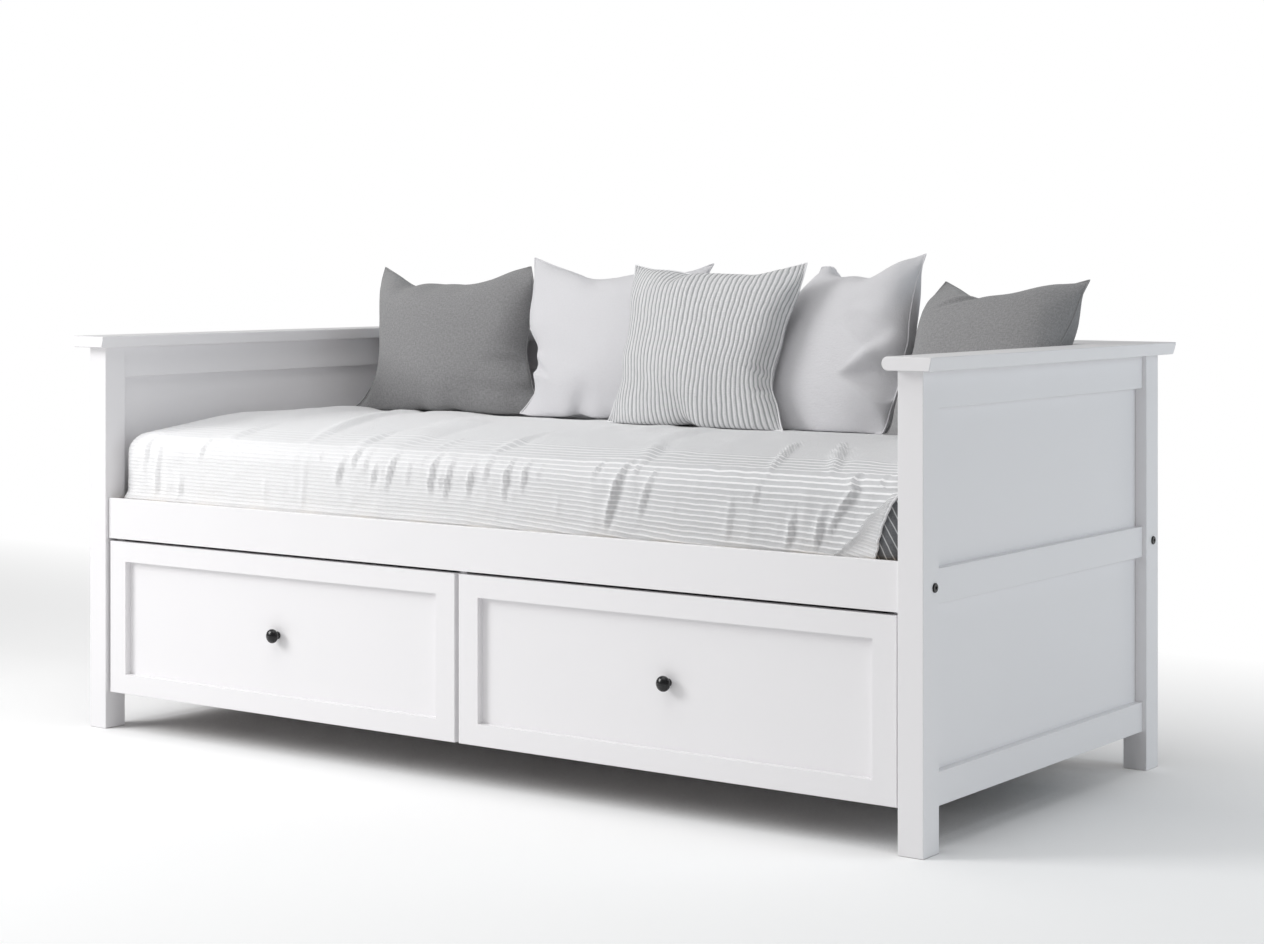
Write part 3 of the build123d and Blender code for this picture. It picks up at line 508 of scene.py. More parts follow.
# For each slot the function that makes its finish and its facts
FINISHES = {
    "white_painted_wood": (film_material, dict(
        colour=(0.892, 0.882, 0.895), roughness=0.38, grain=260.0, Coat_Weight=0.12, Coat_Roughness=0.25)),
    "white_hardboard": (film_material, dict(
        colour=(0.885, 0.875, 0.888), roughness=0.44, grain=420.0, Coat_Weight=0.12, Coat_Roughness=0.25)),
    "grey_plastic": (film_material, dict(
        colour=(0.16, 0.165, 0.17), roughness=0.45, grain=500.0, change=0.25, distance=0.00005)),
    "black_metal": (metal_material, dict(
        colour=(0.004, 0.004, 0.005), roughness=0.24, Coat_Weight=0.35, Specular_IOR_Level=0.3)),
    "zinc_steel": (metal_material, dict(colour=(0.62, 0.63, 0.64), roughness=0.34, Metallic=1.0)),
    "bare_pine": (pine_material, {}),
    "ribbed_cotton": (ribbed_material, {}),
    "foam_in_ticking": (cloth_material, dict(
        yarn=(0.76, 0.76, 0.75), second=(0.70, 0.70, 0.69), slub=0.5, bump=(0.0005, 0.5), roughness=0.88,
        stripes=(0.030, 0.14, 0.0004), stripe_colour=(0.42, 0.45, 0.50), mapped=False)),
    "grey_linen": (cloth_material, dict(
        yarn=(0.300, 0.298, 0.302), second=(0.225, 0.224, 0.228), slub=1.3, bump=(0.0007, 0.6),
        threads=1100.0, sheen=0.25, crumple=2.2)),
    "off_white_cotton": (cloth_material, dict(
        yarn=(0.72, 0.715, 0.735), second=(0.68, 0.675, 0.695), slub=0.5, bump=(0.0007, 0.6),
        threads=1500.0, crumple=2.2)),
    "striped_cotton": (cloth_material, dict(
        yarn=(0.90, 0.90, 0.91), second=(0.84, 0.84, 0.85), slub=0.6, bump=(0.0016, 0.8), sheen=0.2,
        stripes=(0.0112, 0.33, 0.007), stripe_colour=(0.44, 0.45, 0.46), ridge=-0.9)),
    "dark_striped_cotton": (cloth_material, dict(
        yarn=(0.105, 0.11, 0.12), second=(0.17, 0.175, 0.185), slub=0.9, bump=(0.0007, 0.6),
        stripes=(0.0135, 0.13, 0.004), stripe_colour=(0.66, 0.67, 0.68), slant=-29)),
}


def material_named(slot):
    """The finish of that slot, built on its first use."""
    make, facts = FINISHES[slot]
    return bpy.data.materials.get(slot + "_finish") or make(slot, **facts)


# Geometry node trees


def end_tree(maker, geometry, source, target):
    """Ends a geometry tree with the material that comes in, and returns it."""
    dressed = maker.add("GeometryNodeSetMaterial", Geometry=geometry, Material=source["Material"])
    maker.put(target["Geometry"], dressed.outputs[0])
    return maker.tree


def slat_row_tree():
    """A row of slats across the bed: a rounded section swept along each slat."""
    maker, source, target = open_tree("GeometryNodeTree", "Slat Row", {
        "Geometry": "Geometry", "Count": 13, "Start": None, "Pitch": 0.152, "Slat Length": 0.9,
        "Width": 0.068, "Thickness": 0.015, "Edge Radius": 0.003, "Material": "Material",
    }, {"Geometry": "Geometry"})
    offset = maker.add("ShaderNodeCombineXYZ", X=source["Pitch"]).outputs[0]
    row = maker.add("GeometryNodeMeshLine", {"mode": "OFFSET"}, Count=source["Count"],
                    Start_Location=source["Start"], Offset=offset).outputs[0]
    reach = maker.add("ShaderNodeCombineXYZ", Y=source["Slat Length"]).outputs[0]
    spine = maker.add("GeometryNodeCurvePrimitiveLine", End=reach).outputs[0]
    section = maker.add("GeometryNodeCurvePrimitiveQuadrilateral", Width=source["Width"],
                        Height=source["Thickness"]).outputs[0]
    rounded = maker.add("GeometryNodeFilletCurve", {"mode": "POLY"}, Curve=section,
                        Radius=source["Edge Radius"], Count=3).outputs[0]
    slat = maker.add("GeometryNodeCurveToMesh", Curve=spine, Profile_Curve=rounded, Fill_Caps=True).outputs[0]
    slats = maker.add("GeometryNodeInstanceOnPoints", Points=row, Instance=slat).outputs[0]
    real = maker.add("GeometryNodeRealizeInstances", Geometry=slats).outputs[0]
    return end_tree(maker, real, source, target)


def screw_tree():
    """Screw heads at the points of a mesh, each turned by its own random angle."""
    maker, source, target = open_tree("GeometryNodeTree", "Screw Heads", {
        "Geometry": "Geometry", "Screw": "Object", "Seed": 3, "Material": "Material",
    }, {"Geometry": "Geometry"})
    model = maker.add("GeometryNodeObjectInfo", Object=source["Screw"]).outputs["Geometry"]
    turn = maker.add("FunctionNodeRandomValue", {"data_type": "FLOAT"}, Seed=source["Seed"])
    for socket in turn.inputs:
        if socket.name == "Max" and socket.type == "VALUE":
            socket.default_value = math.pi
    spin = maker.add("ShaderNodeCombineXYZ", Z=turn.outputs[1]).outputs[0]
    rotation = maker.add("FunctionNodeEulerToRotation", Euler=spin).outputs[0]
    heads = maker.add("GeometryNodeInstanceOnPoints", Points=source["Geometry"], Instance=model,
                      Rotation=rotation).outputs[0]
    real = maker.add("GeometryNodeRealizeInstances", Geometry=heads).outputs[0]
    return end_tree(maker, real, source, target)


def cord_tree():
    """A round cord along the edges of a mesh, as piping is."""
    maker, source, target = open_tree("GeometryNodeTree", "Piping", {
        "Geometry": "Geometry", "Radius": 0.002, "Sides": 8, "Material": "Material",
    }, {"Geometry": "Geometry"})
    line = maker.add("GeometryNodeMeshToCurve", Mesh=source["Geometry"]).outputs[0]
    circle = maker.add("GeometryNodeCurvePrimitiveCircle", Resolution=source["Sides"],
                       Radius=source["Radius"]).outputs[0]
    tube = maker.add("GeometryNodeCurveToMesh", Curve=line, Profile_Curve=circle, Fill_Caps=True).outputs[0]
    smooth = maker.add("GeometryNodeSetShadeSmooth", Geometry=tube).outputs[0]
    return end_tree(maker, smooth, source, target)


TREE_MAKERS = {"Slat Row": slat_row_tree, "Screw Heads": screw_tree, "Piping": cord_tree}


def grown(name, tree_name, points, edges, slot, **sizes):
    """A piece that a geometry node tree makes from a line or a set of points, in its slot's finish."""
    tree = bpy.data.node_groups.get(tree_name) or TREE_MAKERS[tree_name]()
    mesh = bpy.data.meshes.new(name)
    mesh.from_pydata([tuple(p) for p in points], edges, [])
    piece = bpy.data.objects.new(name, mesh)
    bpy.context.scene.collection.objects.link(piece)
    modifier = piece.modifiers.new(tree_name, "NODES")
    modifier.node_group = tree
    names = {item.name: item.identifier for item in tree.interface.items_tree
             if item.item_type == "SOCKET" and item.in_out == "INPUT"}
    for key, value in dict(sizes, Material=material_named(slot)).items():
        modifier[names[key.replace("_", " ")]] = value
    return baked(piece)


def piping(name, line, radius, slot, closed=True):
    """A round cord of the frame along a line, closed or with two ends."""
    count = len(line)
    edges = [(n, (n + 1) % count) for n in range(count if closed else count - 1)]
    cord = outward(grown(name, "Piping", line, edges, slot, Radius=radius, Sides=8))
    finish_piece(cord, "frame", slot)
    return cord


# The cover over the bed, from which the spread and the sheet are made


def cover_rail(half, front, back, columns, rows, corner_steps):
    """Base points, outward directions and grid places along the left side, the front and the right."""
    rail = []
    for row in range(rows, 0, -1):
        rail.append((-half, front + (back - front) * row / rows, -1.0, 0.0, 0, row))
    for step in range(corner_steps):
        turn = step / corner_steps * math.pi / 2
        rail.append((-half, front, -math.cos(turn), -math.sin(turn), 0, 0))
    for column in range(columns + 1):
        rail.append((-half + 2 * half * column / columns, front, 0.0, -1.0, column, 0))
    for step in range(1, corner_steps + 1):
        turn = step / corner_steps * math.pi / 2
        rail.append((half, front, math.sin(turn), -math.cos(turn), columns, 0))
    for row in range(1, rows + 1):
        rail.append((half, front + (back - front) * row / rows, 1.0, 0.0, columns, row))
    return rail


CORNER_STEPS = 8


class Cover:
    """A cloth over the crowned bed: a top grid with a rounded edge and a drop round three sides.

    cloth holds each point's place on the flat cloth, and place holds how far it is past the top
    grid and in which direction."""

    def __init__(self, half, front, back, top_offset, hem, radius, columns, rows, arc_steps, drop_steps):
        self.half, self.front, self.radius = half, front, radius
        inner = half - radius
        points, cloth, place = [], [], []
        for row in range(rows + 1):
            for column in range(columns + 1):
                x = -inner + 2 * inner * column / columns
                y = front + radius + (back - front - radius) * row / rows
                points.append((x, y, bed_top(y) + top_offset))
                cloth.append((x, y))
                place.append((0.0, 0.0, 0.0))
        self.top_faces = [(a, a + 1, a + columns + 2, a + columns + 1) for row in range(rows)
                          for a in range(row * (columns + 1), row * (columns + 1) + columns)]
        rail = cover_rail(inner, front + radius, back, columns, rows, CORNER_STEPS)
        steps = arc_steps + drop_steps
        index = np.zeros((len(rail), steps + 1), int)
        for n, (x, y, to_x, to_y, column, row) in enumerate(rail):
            index[n, 0] = row * (columns + 1) + column
            crest = bed_top(y) + top_offset
            for step in range(1, steps + 1):
                if step <= arc_steps:
                    turn = step / arc_steps * math.pi / 2
                    out, down = radius * math.sin(turn), radius * (1 - math.cos(turn))
                    along = radius * turn
                else:
                    share = (step - arc_steps) / drop_steps
                    out, down = radius, radius + share * (crest - radius - hem)
                    along = radius * math.pi / 2 + down - radius
                index[n, step] = len(points)
                points.append((x + out * to_x, y + out * to_y, crest - down))
                cloth.append((x + along * to_x, y + along * to_y))
                place.append((along, to_x, to_y))
        self.skirt_faces = []
        for n in range(len(rail) - 1):
            for step in range(steps):
                quad = [index[n, step], index[n, step + 1], index[n + 1, step + 1], index[n + 1, step]]
                loop = [int(v) for k, v in enumerate(quad) if v != quad[k - 1]]
                self.skirt_faces.append(((n, step), loop))
        self.points, self.cloth, self.place = np.array(points), np.array(cloth), np.array(place)
        self.index = index
        self.first_front = rows + CORNER_STEPS
        self.last_front = self.first_front + columns
        self.arc_steps, self.steps = arc_steps, steps

    def normals(self):
        """Outward direction at each point of the smooth cover."""
        along, dx, dy = self.place.T
        turn = np.clip(along / self.radius, 0, math.pi / 2)
        slope = -(self.points[:, 1] - CROWN_MIDDLE) / CROWN_RADIUS
        result = np.stack([np.sin(turn) * dx, np.sin(turn) * dy, np.cos(turn)], axis=1)
        result[:, 1] -= slope * np.cos(turn)
        return result / np.linalg.norm(result, axis=1, keepdims=True)


def bell(distance, width):
    """A smooth bump of height 1 that falls off over the width."""
    return np.exp(-((distance / width) ** 2))


def line_distance(x, y, start, end):
    """Distance to a line, the share of the way along it and how far past its ends each place is."""
    length = math.dist(start, end)
    ux, uy = (end[0] - start[0]) / length, (end[1] - start[1]) / length
    share = ((x - start[0]) * ux + (y - start[1]) * uy) / length
    across = (x - start[0]) * uy - (y - start[1]) * ux
    past = np.clip(-share, 0, None) + np.clip(share - 1, 0, None)
    return across, share, past * length


def swelling(share, margin):
    """A smooth rise and fall along a line, which reaches a little past both its ends."""
    return np.sin(np.clip((share + margin) / (1 + 2 * margin), 0, 1) * math.pi)


# Upright wrinkles in the front drop: upper place, lower place, half width and depth
FRONT_WRINKLES = (
    ((-0.904, 0.655), (-0.914, 0.585), 0.009, 0.0035),
    ((-0.869, 0.620), (-0.879, 0.510), 0.012, 0.0030),
    ((-0.801, 0.560), (-0.806, 0.507), 0.011, 0.0030),
    ((-0.733, 0.652), (-0.747, 0.600), 0.009, 0.0040),
    ((-0.540, 0.600), (-0.548, 0.510), 0.016, 0.0020),
    ((-0.430, 0.610), (-0.440, 0.520), 0.013, 0.0022),
    ((-0.325, 0.626), (-0.343, 0.575), 0.011, 0.0045),
    ((-0.235, 0.618), (-0.248, 0.575), 0.009, 0.0050),
    ((-0.183, 0.650), (-0.208, 0.572), 0.010, 0.0060),
    ((-0.142, 0.636), (-0.155, 0.570), 0.010, 0.0045),
    ((-0.077, 0.646), (-0.094, 0.562), 0.011, 0.0065),
    ((-0.037, 0.628), (-0.053, 0.560), 0.009, 0.0055),
    ((0.023, 0.630), (0.007, 0.570), 0.010, 0.0050),
    ((0.113, 0.650), (0.099, 0.570), 0.009, 0.0060),
    ((0.156, 0.646), (0.145, 0.585), 0.009, 0.0055),
    ((0.240, 0.600), (0.232, 0.530), 0.013, 0.0030),
    ((0.392, 0.655), (0.352, 0.535), 0.011, 0.0060),
    ((0.466, 0.655), (0.424, 0.545), 0.010, 0.0052),
    ((0.520, 0.610), (0.505, 0.550), 0.010, 0.0030),
    ((0.640, 0.590), (0.628, 0.515), 0.014, 0.0025),
    ((0.773, 0.580), (0.760, 0.509), 0.010, 0.0045),
    ((0.834, 0.592), (0.822, 0.509), 0.010, 0.0050),
    ((0.902, 0.672), (0.848, 0.545), 0.010, 0.0058),
    ((0.958, 0.668), (0.938, 0.632), 0.008, 0.0040),
    ((-0.390, 0.640), (-0.400, 0.606), 0.007, 0.0035),
    ((-0.290, 0.648), (-0.302, 0.612), 0.007, 0.0040),
    ((-0.262, 0.640), (-0.270, 0.600), 0.006, 0.0035),
    ((-0.110, 0.652), (-0.122, 0.618), 0.006, 0.0040),
    ((-0.060, 0.610), (-0.068, 0.575), 0.006, 0.0035),
    ((0.060, 0.640), (0.048, 0.600), 0.007, 0.0040),
    ((0.190, 0.640), (0.178, 0.600), 0.006, 0.0035),
    ((0.330, 0.650), (0.316, 0.620), 0.007, 0.0035),
    ((0.420, 0.655), (0.408, 0.628), 0.006, 0.0035),
    ((0.700, 0.630), (0.684, 0.585), 0.009, 0.0035),
)

# Long soft folds on the top: start, end, half width and height
TOP_FOLDS = (
    ((-0.46, -0.42), (-0.78, 0.34), 0.022, 0.0050),
    ((-0.80, -0.30), (-0.93, 0.36), 0.050, 0.0035),
    ((-0.20, -0.42), (-0.42, 0.10), 0.050, 0.0030),
    ((0.16, -0.20), (0.10, 0.20), 0.030, 0.0022),
    ((0.30, -0.26), (0.21, 0.16), 0.026, 0.0022),
    ((0.71, -0.45), (0.58, -0.14), 0.008, 0.0040),
    ((0.84, -0.44), (0.66, -0.10), 0.010, 0.0032),
    ((0.42, -0.44), (0.30, -0.20), 0.014, 0.0020),
    ((-0.30, -0.46), (-0.36, -0.25), 0.012, 0.0022),
    ((-0.10, -0.46), (-0.16, -0.22), 0.014, 0.0026),
    ((0.05, -0.46), (-0.01, -0.18), 0.013, 0.0024),
    ((-0.68, -0.45), (-0.74, -0.22), 0.016, 0.0020),
    ((0.55, -0.40), (0.36, 0.05), 0.034, 0.0022),
    ((0.95, -0.38), (0.72, 0.12), 0.034, 0.0022),
)


def cover_relief(cover, wrinkles, folds, calm):
    """How far each point of a cover stands out from the smooth form."""
    x, y, z = cover.points.T
    along, _, dy = cover.place.T
    relief = smooth_noise(x, y * 0.8, z * 0.35, 0.16, 1) * 0.0032 * (1 - calm * (along > 0))
    relief += smooth_noise(x, y * 0.5, z * 0.2, 0.055, 2) * 0.0011
    on_front = np.clip(-dy, 0, 1) * np.clip(along / 0.05, 0, 1)
    for upper, lower, width, depth in wrinkles:
        across, share, _ = line_distance(x, z, upper, lower)
        taper = swelling(share, 0.25)
        wide = width * (0.40 + 0.48 * taper)
        crease = bell(across - 0.6 * wide, wide * 0.55) * 0.8 - bell(across + 0.6 * wide, wide * 0.75)
        relief += on_front * taper ** 1.5 * 1.15 * depth * crease
    on_top = np.clip(1 - along / 0.09, 0, 1)
    for start, end, width, height in folds:
        across, share, _ = line_distance(x, y, start, end)
        taper = swelling(share, 0.12)
        wide = width * (0.4 + 0.6 * taper)
        fold = bell(across, wide) - 0.45 * bell(across - 1.9 * wide, wide * 0.8)
        relief += on_top * taper ** 1.4 * height * fold
    relief += on_front * 0.0011 * smooth_noise(x, y, z * 0.7, 0.020, 3)
    return np.where(relief < 0, relief * 0.12, relief * 2.1)


def ridge_place(height):
    """Where the soft ridge beside the turned hem runs, at a height."""
    wave = 0.0035 * np.sin(height * 95)
    return np.interp(height, (0.500, 0.510, 0.628), (0.858, 0.867, 0.976)) + wave


def turned_edge(height):
    """Where the front drop of the spread ends beside the right post, at a height."""
    heights = (0.500, 0.510, 0.540, 0.573, 0.606, 0.630)
    return np.interp(height, heights, (0.939, 0.940, 0.943, 0.953, 0.971, 0.988))


def hem_share(points):
    """How far each point is below the height where the turned hem starts, up to 1."""
    return np.clip((HEM_HEIGHT - points[:, 2]) / 0.02, 0, 1)


def bedspread_cover(columns, rows):
    """The spread's cover with its front drop drawn back from the right post."""
    cover = Cover(SPREAD_HIGH.x - 0.0012, SPREAD_LOW.y + 0.0012, SPREAD_HIGH.y, 0.0, SPREAD_LOW.z,
                  SPREAD_RADIUS, columns, rows, 7, 16)
    relief = cover_relief(cover, FRONT_WRINKLES, TOP_FOLDS, 0.45)
    points = cover.points + cover.normals() * relief[:, None]
    front = cover.index[cover.first_front:cover.last_front + 1]
    corner = cover.index[cover.last_front + 1:cover.last_front + 1 + CORNER_STEPS]
    start, end = 0.780, cover.half - SPREAD_RADIUS
    for step in range(cover.arc_steps - 4, cover.steps + 1):
        row = front[:, step]
        z = points[row, 2].mean()
        pull = np.clip((DRAWN_HEIGHT - z) / 0.012, 0, 1)
        limit = end + (turned_edge(z) - end) * pull
        x = points[row, 0]
        share = np.clip((x - start) / (end - start), 0, None)
        points[row, 0] = np.where(x > start, start + share * (limit - start), x)
        past = points[corner[:, step], 0] - end
        points[corner[:, step], 0] = limit + past * (cover.half - limit) / SPREAD_RADIUS
    first_cut = min(step for step in range(cover.steps + 1)
                    if cover.points[front[-1, step], 2] < CUT_HEIGHT)
    last_side = cover.last_front + CORNER_STEPS + rows // 5
    faces = cover.top_faces + [loop for (n, step), loop in cover.skirt_faces
                               if step < first_cut or not cover.last_front <= n < last_side]
    facing = np.clip(-cover.place[:, 2], 0, 1)
    low_down = hem_share(points) * facing * (cover.place[:, 0] > SPREAD_RADIUS)
    past_ridge = points[:, 0] - ridge_place(points[:, 2])
    points[:, 1] -= low_down * 0.0052 * bell(past_ridge, 0.014)
    puckers = np.sin(points[:, 2] * 2 * math.pi / PUCKER_PITCH)
    puckers *= bell(points[:, 0] - turned_edge(points[:, 2]), 0.016)
    points[:, 1] -= low_down * 0.0016 * puckers
    flare = np.clip((SPREAD_LOW.z + 0.020 - points[:, 2]) / 0.018, 0, 1) * facing
    points[:, 1] += flare * (RAIL_BACK - points[:, 1])
    return cover, points, faces, front, first_cut


def cloth_piece(name, points, faces, flat_coords, thickness, **marks):
    """A cloth of a thickness from the points that its faces use, with marks at its points. Comes
    with the list of those points."""
    used = sorted({v for face in faces for v in face})
    renumber = {v: n for n, v in enumerate(used)}
    faces = [[renumber[v] for v in face] for face in faces]
    piece = mesh_piece(name, points[used], faces, flat_coords[used])
    for mark, values in marks.items():
        layer = piece.data.attributes.new(mark, "FLOAT", "POINT")
        layer.data.foreach_set("value", values[used])
    modifier = piece.modifiers.new("cloth thickness", "SOLIDIFY")
    modifier.thickness = thickness
    modifier.offset = -1.0
    return baked(piece), used


class BeddingSizes(bpy.types.PropertyGroup):
    """Sizes of the bedding"""

    spread_thickness: FloatProperty(
        name="Spread Thickness", description="Thickness of the spread's cloth", default=0.003, unit="LENGTH")
    sheet_thickness: FloatProperty(
        name="Sheet Thickness", description="Thickness of the sheet's cloth", default=0.0012, unit="LENGTH")
    spread_columns: IntProperty(
        name="Spread Columns", description="Steps of the bedspread's mesh along the bed", default=340)
    spread_rows: IntProperty(
        name="Spread Rows", description="Steps of the bedspread's mesh across the bed", default=80)
    piping_radius: FloatProperty(
        name="Piping Radius", description="Radius of the mattress piping", default=0.0028, unit="LENGTH")


class CushionSizes(bpy.types.PropertyGroup):
    """Sizes of the cushions"""

    cell: FloatProperty(
        name="Cloth Step", description="Distance of the simulated threads", default=0.0105, unit="LENGTH")
    pressure: FloatProperty(
        name="Filling Pressure", description="Pressure that fills each simulated cushion", default=5.0)
    frames: IntProperty(name="Frames", description="Frames that the filling takes", default=26)
    seam_radius: FloatProperty(
        name="Seam Radius", description="Radius of the cushions' seam cord", default=0.0017, unit="LENGTH")


class StudioSettings(bpy.types.PropertyGroup):
    """Camera, floor and lamps"""

    lens: FloatProperty(name="Lens", description="Focal length for a sensor 36 mm wide", default=70.49)
    camera_place: FloatVectorProperty(
        name="Camera Place", description="Place of the camera", default=(3.1549, -4.2544, 1.0321),
        subtype="TRANSLATION")
    camera_turn: FloatProperty(
        name="Camera Turn", description="Turn of the camera about Z", subtype="ANGLE",
        default=math.radians(35.86))
    floor_colour: FloatVectorProperty(
        name="Floor Colour", description="Colour of the floor near the bed", default=(0.86, 0.86, 0.86),
        subtype="COLOR")
    key_power: FloatProperty(name="Key Power", description="Power of the key lamp in watts", default=134.0)
    high_power: FloatProperty(
        name="High Power", description="Power of the soft lamp high in front in watts", default=40.0)
    top_power: FloatProperty(
        name="Top Power", description="Power of the soft lamp overhead in watts", default=36.0)
    side_power: FloatProperty(
        name="Side Power", description="Power of the soft lamp on the right in watts", default=48.0)
    side_colour: FloatVectorProperty(
        name="Side Colour", description="Colour of the soft lamp on the right", default=(0.82, 0.925, 1.0),
        subtype="COLOR")
    room_light: FloatProperty(
        name="Room Light", description="Strength of the light from all round", default=0.315)


# Operators


class SOFABED_OT_studio(bpy.types.Operator):
    """Makes the floor, the backdrop, the lamps and the camera"""

    bl_idname = "sofabed.studio"
    bl_label = "Studio"

    def execute(self, context):
        settings, scene = context.scene.sofabed_studio, context.scene
        scene.view_settings.view_transform = "Standard"
        scene.world = bpy.data.worlds.new("studio_world")
        scene.world.use_nodes = True
        maker = NodeMaker(scene.world.node_tree)
        path = maker.add("ShaderNodeLightPath").outputs
        seen = maker.math("MAXIMUM", path["Is Camera Ray"], path["Is Transmission Ray"])
        maker.feed(maker.tree.nodes["Background"].inputs, Color=(1.0, 1.0, 1.0, 1.0),
                   Strength=maker.ramp(seen, settings.room_light, 1.0))

        reach = 30.0
        signs = (-1, -1), (1, -1), (1, 1), (-1, 1)
        corners = [(reach * across, reach * along, 0.0) for across, along in signs]
        floor = mesh_piece("studio_floor", corners, [(0, 1, 2, 3)])
        floor.location.z = LOADED_BOUNDS[0].z - 0.0005
        floor.data.materials.append(floor_material(settings.floor_colour))

        for name, place, aim, size, power in (
            ("key_lamp", (-3.4, -3.4, 2.6), (0.0, -0.1, 0.3), (2.0, 2.0), settings.key_power),
            ("high_lamp", (0.0, -2.6, 4.2), (0.0, 0.0, 0.3), (4.0, 2.0), settings.high_power),
            ("top_lamp", (0.0, -0.6, 4.6), (0.0, 0.0, 0.3), (3.0, 2.0), settings.top_power),
            ("side_lamp", (5.0, 1.6, 1.6), (0.8, 0.0, 0.4), (2.4, 2.4), settings.side_power),
        ):
            light = bpy.data.lights.new(name, "AREA")
            light.shape = "RECTANGLE"
            light.size, light.size_y = size
            light.energy = power
            light.color = settings.side_colour if name == "side_lamp" else (1.0, 1.0, 1.0)
            lamp = bpy.data.objects.new(name, light)
            lamp.location = place
            lamp.rotation_mode = "QUATERNION"
            lamp.rotation_quaternion = (Vector(aim) - Vector(place)).to_track_quat("-Z", "Y")
            scene.collection.objects.link(lamp)

        data = bpy.data.cameras.new("photo_camera")
        data.sensor_width = 36.0
        data.lens = settings.lens
        data.shift_y = CAMERA_SHIFT
        camera = bpy.data.objects.new("photo_camera", data)
        camera.location = settings.camera_place
        camera.rotation_euler = (math.pi / 2, 0.0, settings.camera_turn)
        scene.collection.objects.link(camera)
        scene.camera = camera
        return {"FINISHED"}


class SOFABED_OT_finishes(bpy.types.Operator):
    """Gives every piece of the frame the finish of its material slot"""

    bl_idname = "sofabed.finishes"
    bl_label = "Finishes"

    def execute(self, context):
        for entry in FRAME["record"]["subparts"]:
            dress(FRAME["nodes"][entry["node"]], entry["material_slot"])
        return {"FINISHED"}


# Half-round and slightly tapered sides of a cap, as (inset, share of the height) from foot to top
ROUND_SIDE = [(0.0125 * (1 - math.cos(math.radians(turn))), 0.5 + 0.5 * math.sin(math.radians(turn)))
              for turn in range(-90, 91, 15)]
TAPER_SIDE = (
    (0.0072, 0.0), (0.0061, 0.012), (0.0054, 0.036), (0.0050, 0.075), (0.0046, 0.12), (0.0037, 0.30),
    (0.0027, 0.50), (0.0017, 0.70), (0.0009, 0.86), (0.0007, 0.915), (0.0008, 0.955), (0.0014, 0.986),
    (0.0026, 1.0),
)


def cap_section(inner, height, inset=0.0):
    """A cap's section as (offset from the outer edge, height) all round, from its outer foot."""
    near = [(-x, share * height) for x, share in TAPER_SIDE]
    far = [(-CAP_WIDTH + x, share * height) for x, share in inner]
    shrink_x, shrink_z = 1 - 2 * inset / CAP_WIDTH, 1 - 2 * inset / height
    return [(-CAP_WIDTH / 2 + (x + CAP_WIDTH / 2) * shrink_x, height / 2 + (z - height / 2) * shrink_z)
            for x, z in near + far[::-1]]


def cap_board(name, node, rings):
    """A closed board of the frame through rings of points, with flat ends, in a node's place."""
    piece = mesh_piece(name, [p for ring in rings for p in ring], ring_faces(len(rings[0]), len(rings)))
    for face in outward(piece).data.polygons:
        face.use_smooth = len(face.vertices) == 4
    piece.modifiers.new("normals", "WEIGHTED_NORMAL").keep_sharp = True
    baked(piece)
    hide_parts(node)
    finish_piece(piece, "frame", "white_painted_wood")


class SOFABED_OT_caps(bpy.types.Operator):
    """Makes the three caps on the walls, with a half-round nose at the right cap's inner side"""

    bl_idname = "sofabed.caps"
    bl_label = "Caps"

    def execute(self, context):
        low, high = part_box("back_cap")
        height = high.z - low.z
        ends = ((1, ROUND_SIDE, "right"), (-1, TAPER_SIDE, "left"))
        for side, inner, word in ends:
            small, section = cap_section(inner, height, CAP_CHAMFER), cap_section(inner, height)
            rings = [[(side * (high.x + u), -high.y, low.z + h) for u, h in small],
                     [(side * (high.x + u), -high.y + CAP_CHAMFER, low.z + h) for u, h in section],
                     [(side * (high.x + u), high.y + u - MITRE_PLAY, low.z + h) for u, h in section]]
            cap_board("cap_" + word, word + "_end_cap", rings)
        cap_board("cap_back", "back_cap", [
            [(side * (high.x + u), high.y + u, low.z + h) for u, h in cap_section(inner, height)]
            for side, inner, _ in reversed(ends)])
        return {"FINISHED"}


def screw_head():
    """A sunk screw head with a cross recess, closed all round, as a model for the Screw Heads tree."""
    count = 16
    arms = [0.0019 if n % 4 == 0 else 0.0014 if n % 4 in (1, 3) else 0.0006 for n in range(count)]
    levels = (0.0030, -0.0012), (0.0037, 0.0), (0.0032, 0.0003)
    rings = [([radius] * count, height) for radius, height in levels]
    rings += [([share * arm for arm in arms], height) for share, height in ((1.0, 0.0003), (0.85, -0.0009))]
    points = [(radius * math.cos(n * math.pi / 8), radius * math.sin(n * math.pi / 8), height)
              for radii, height in rings for n, radius in enumerate(radii)]
    return mesh_piece("screw_model", points, ring_faces(count, len(rings)))


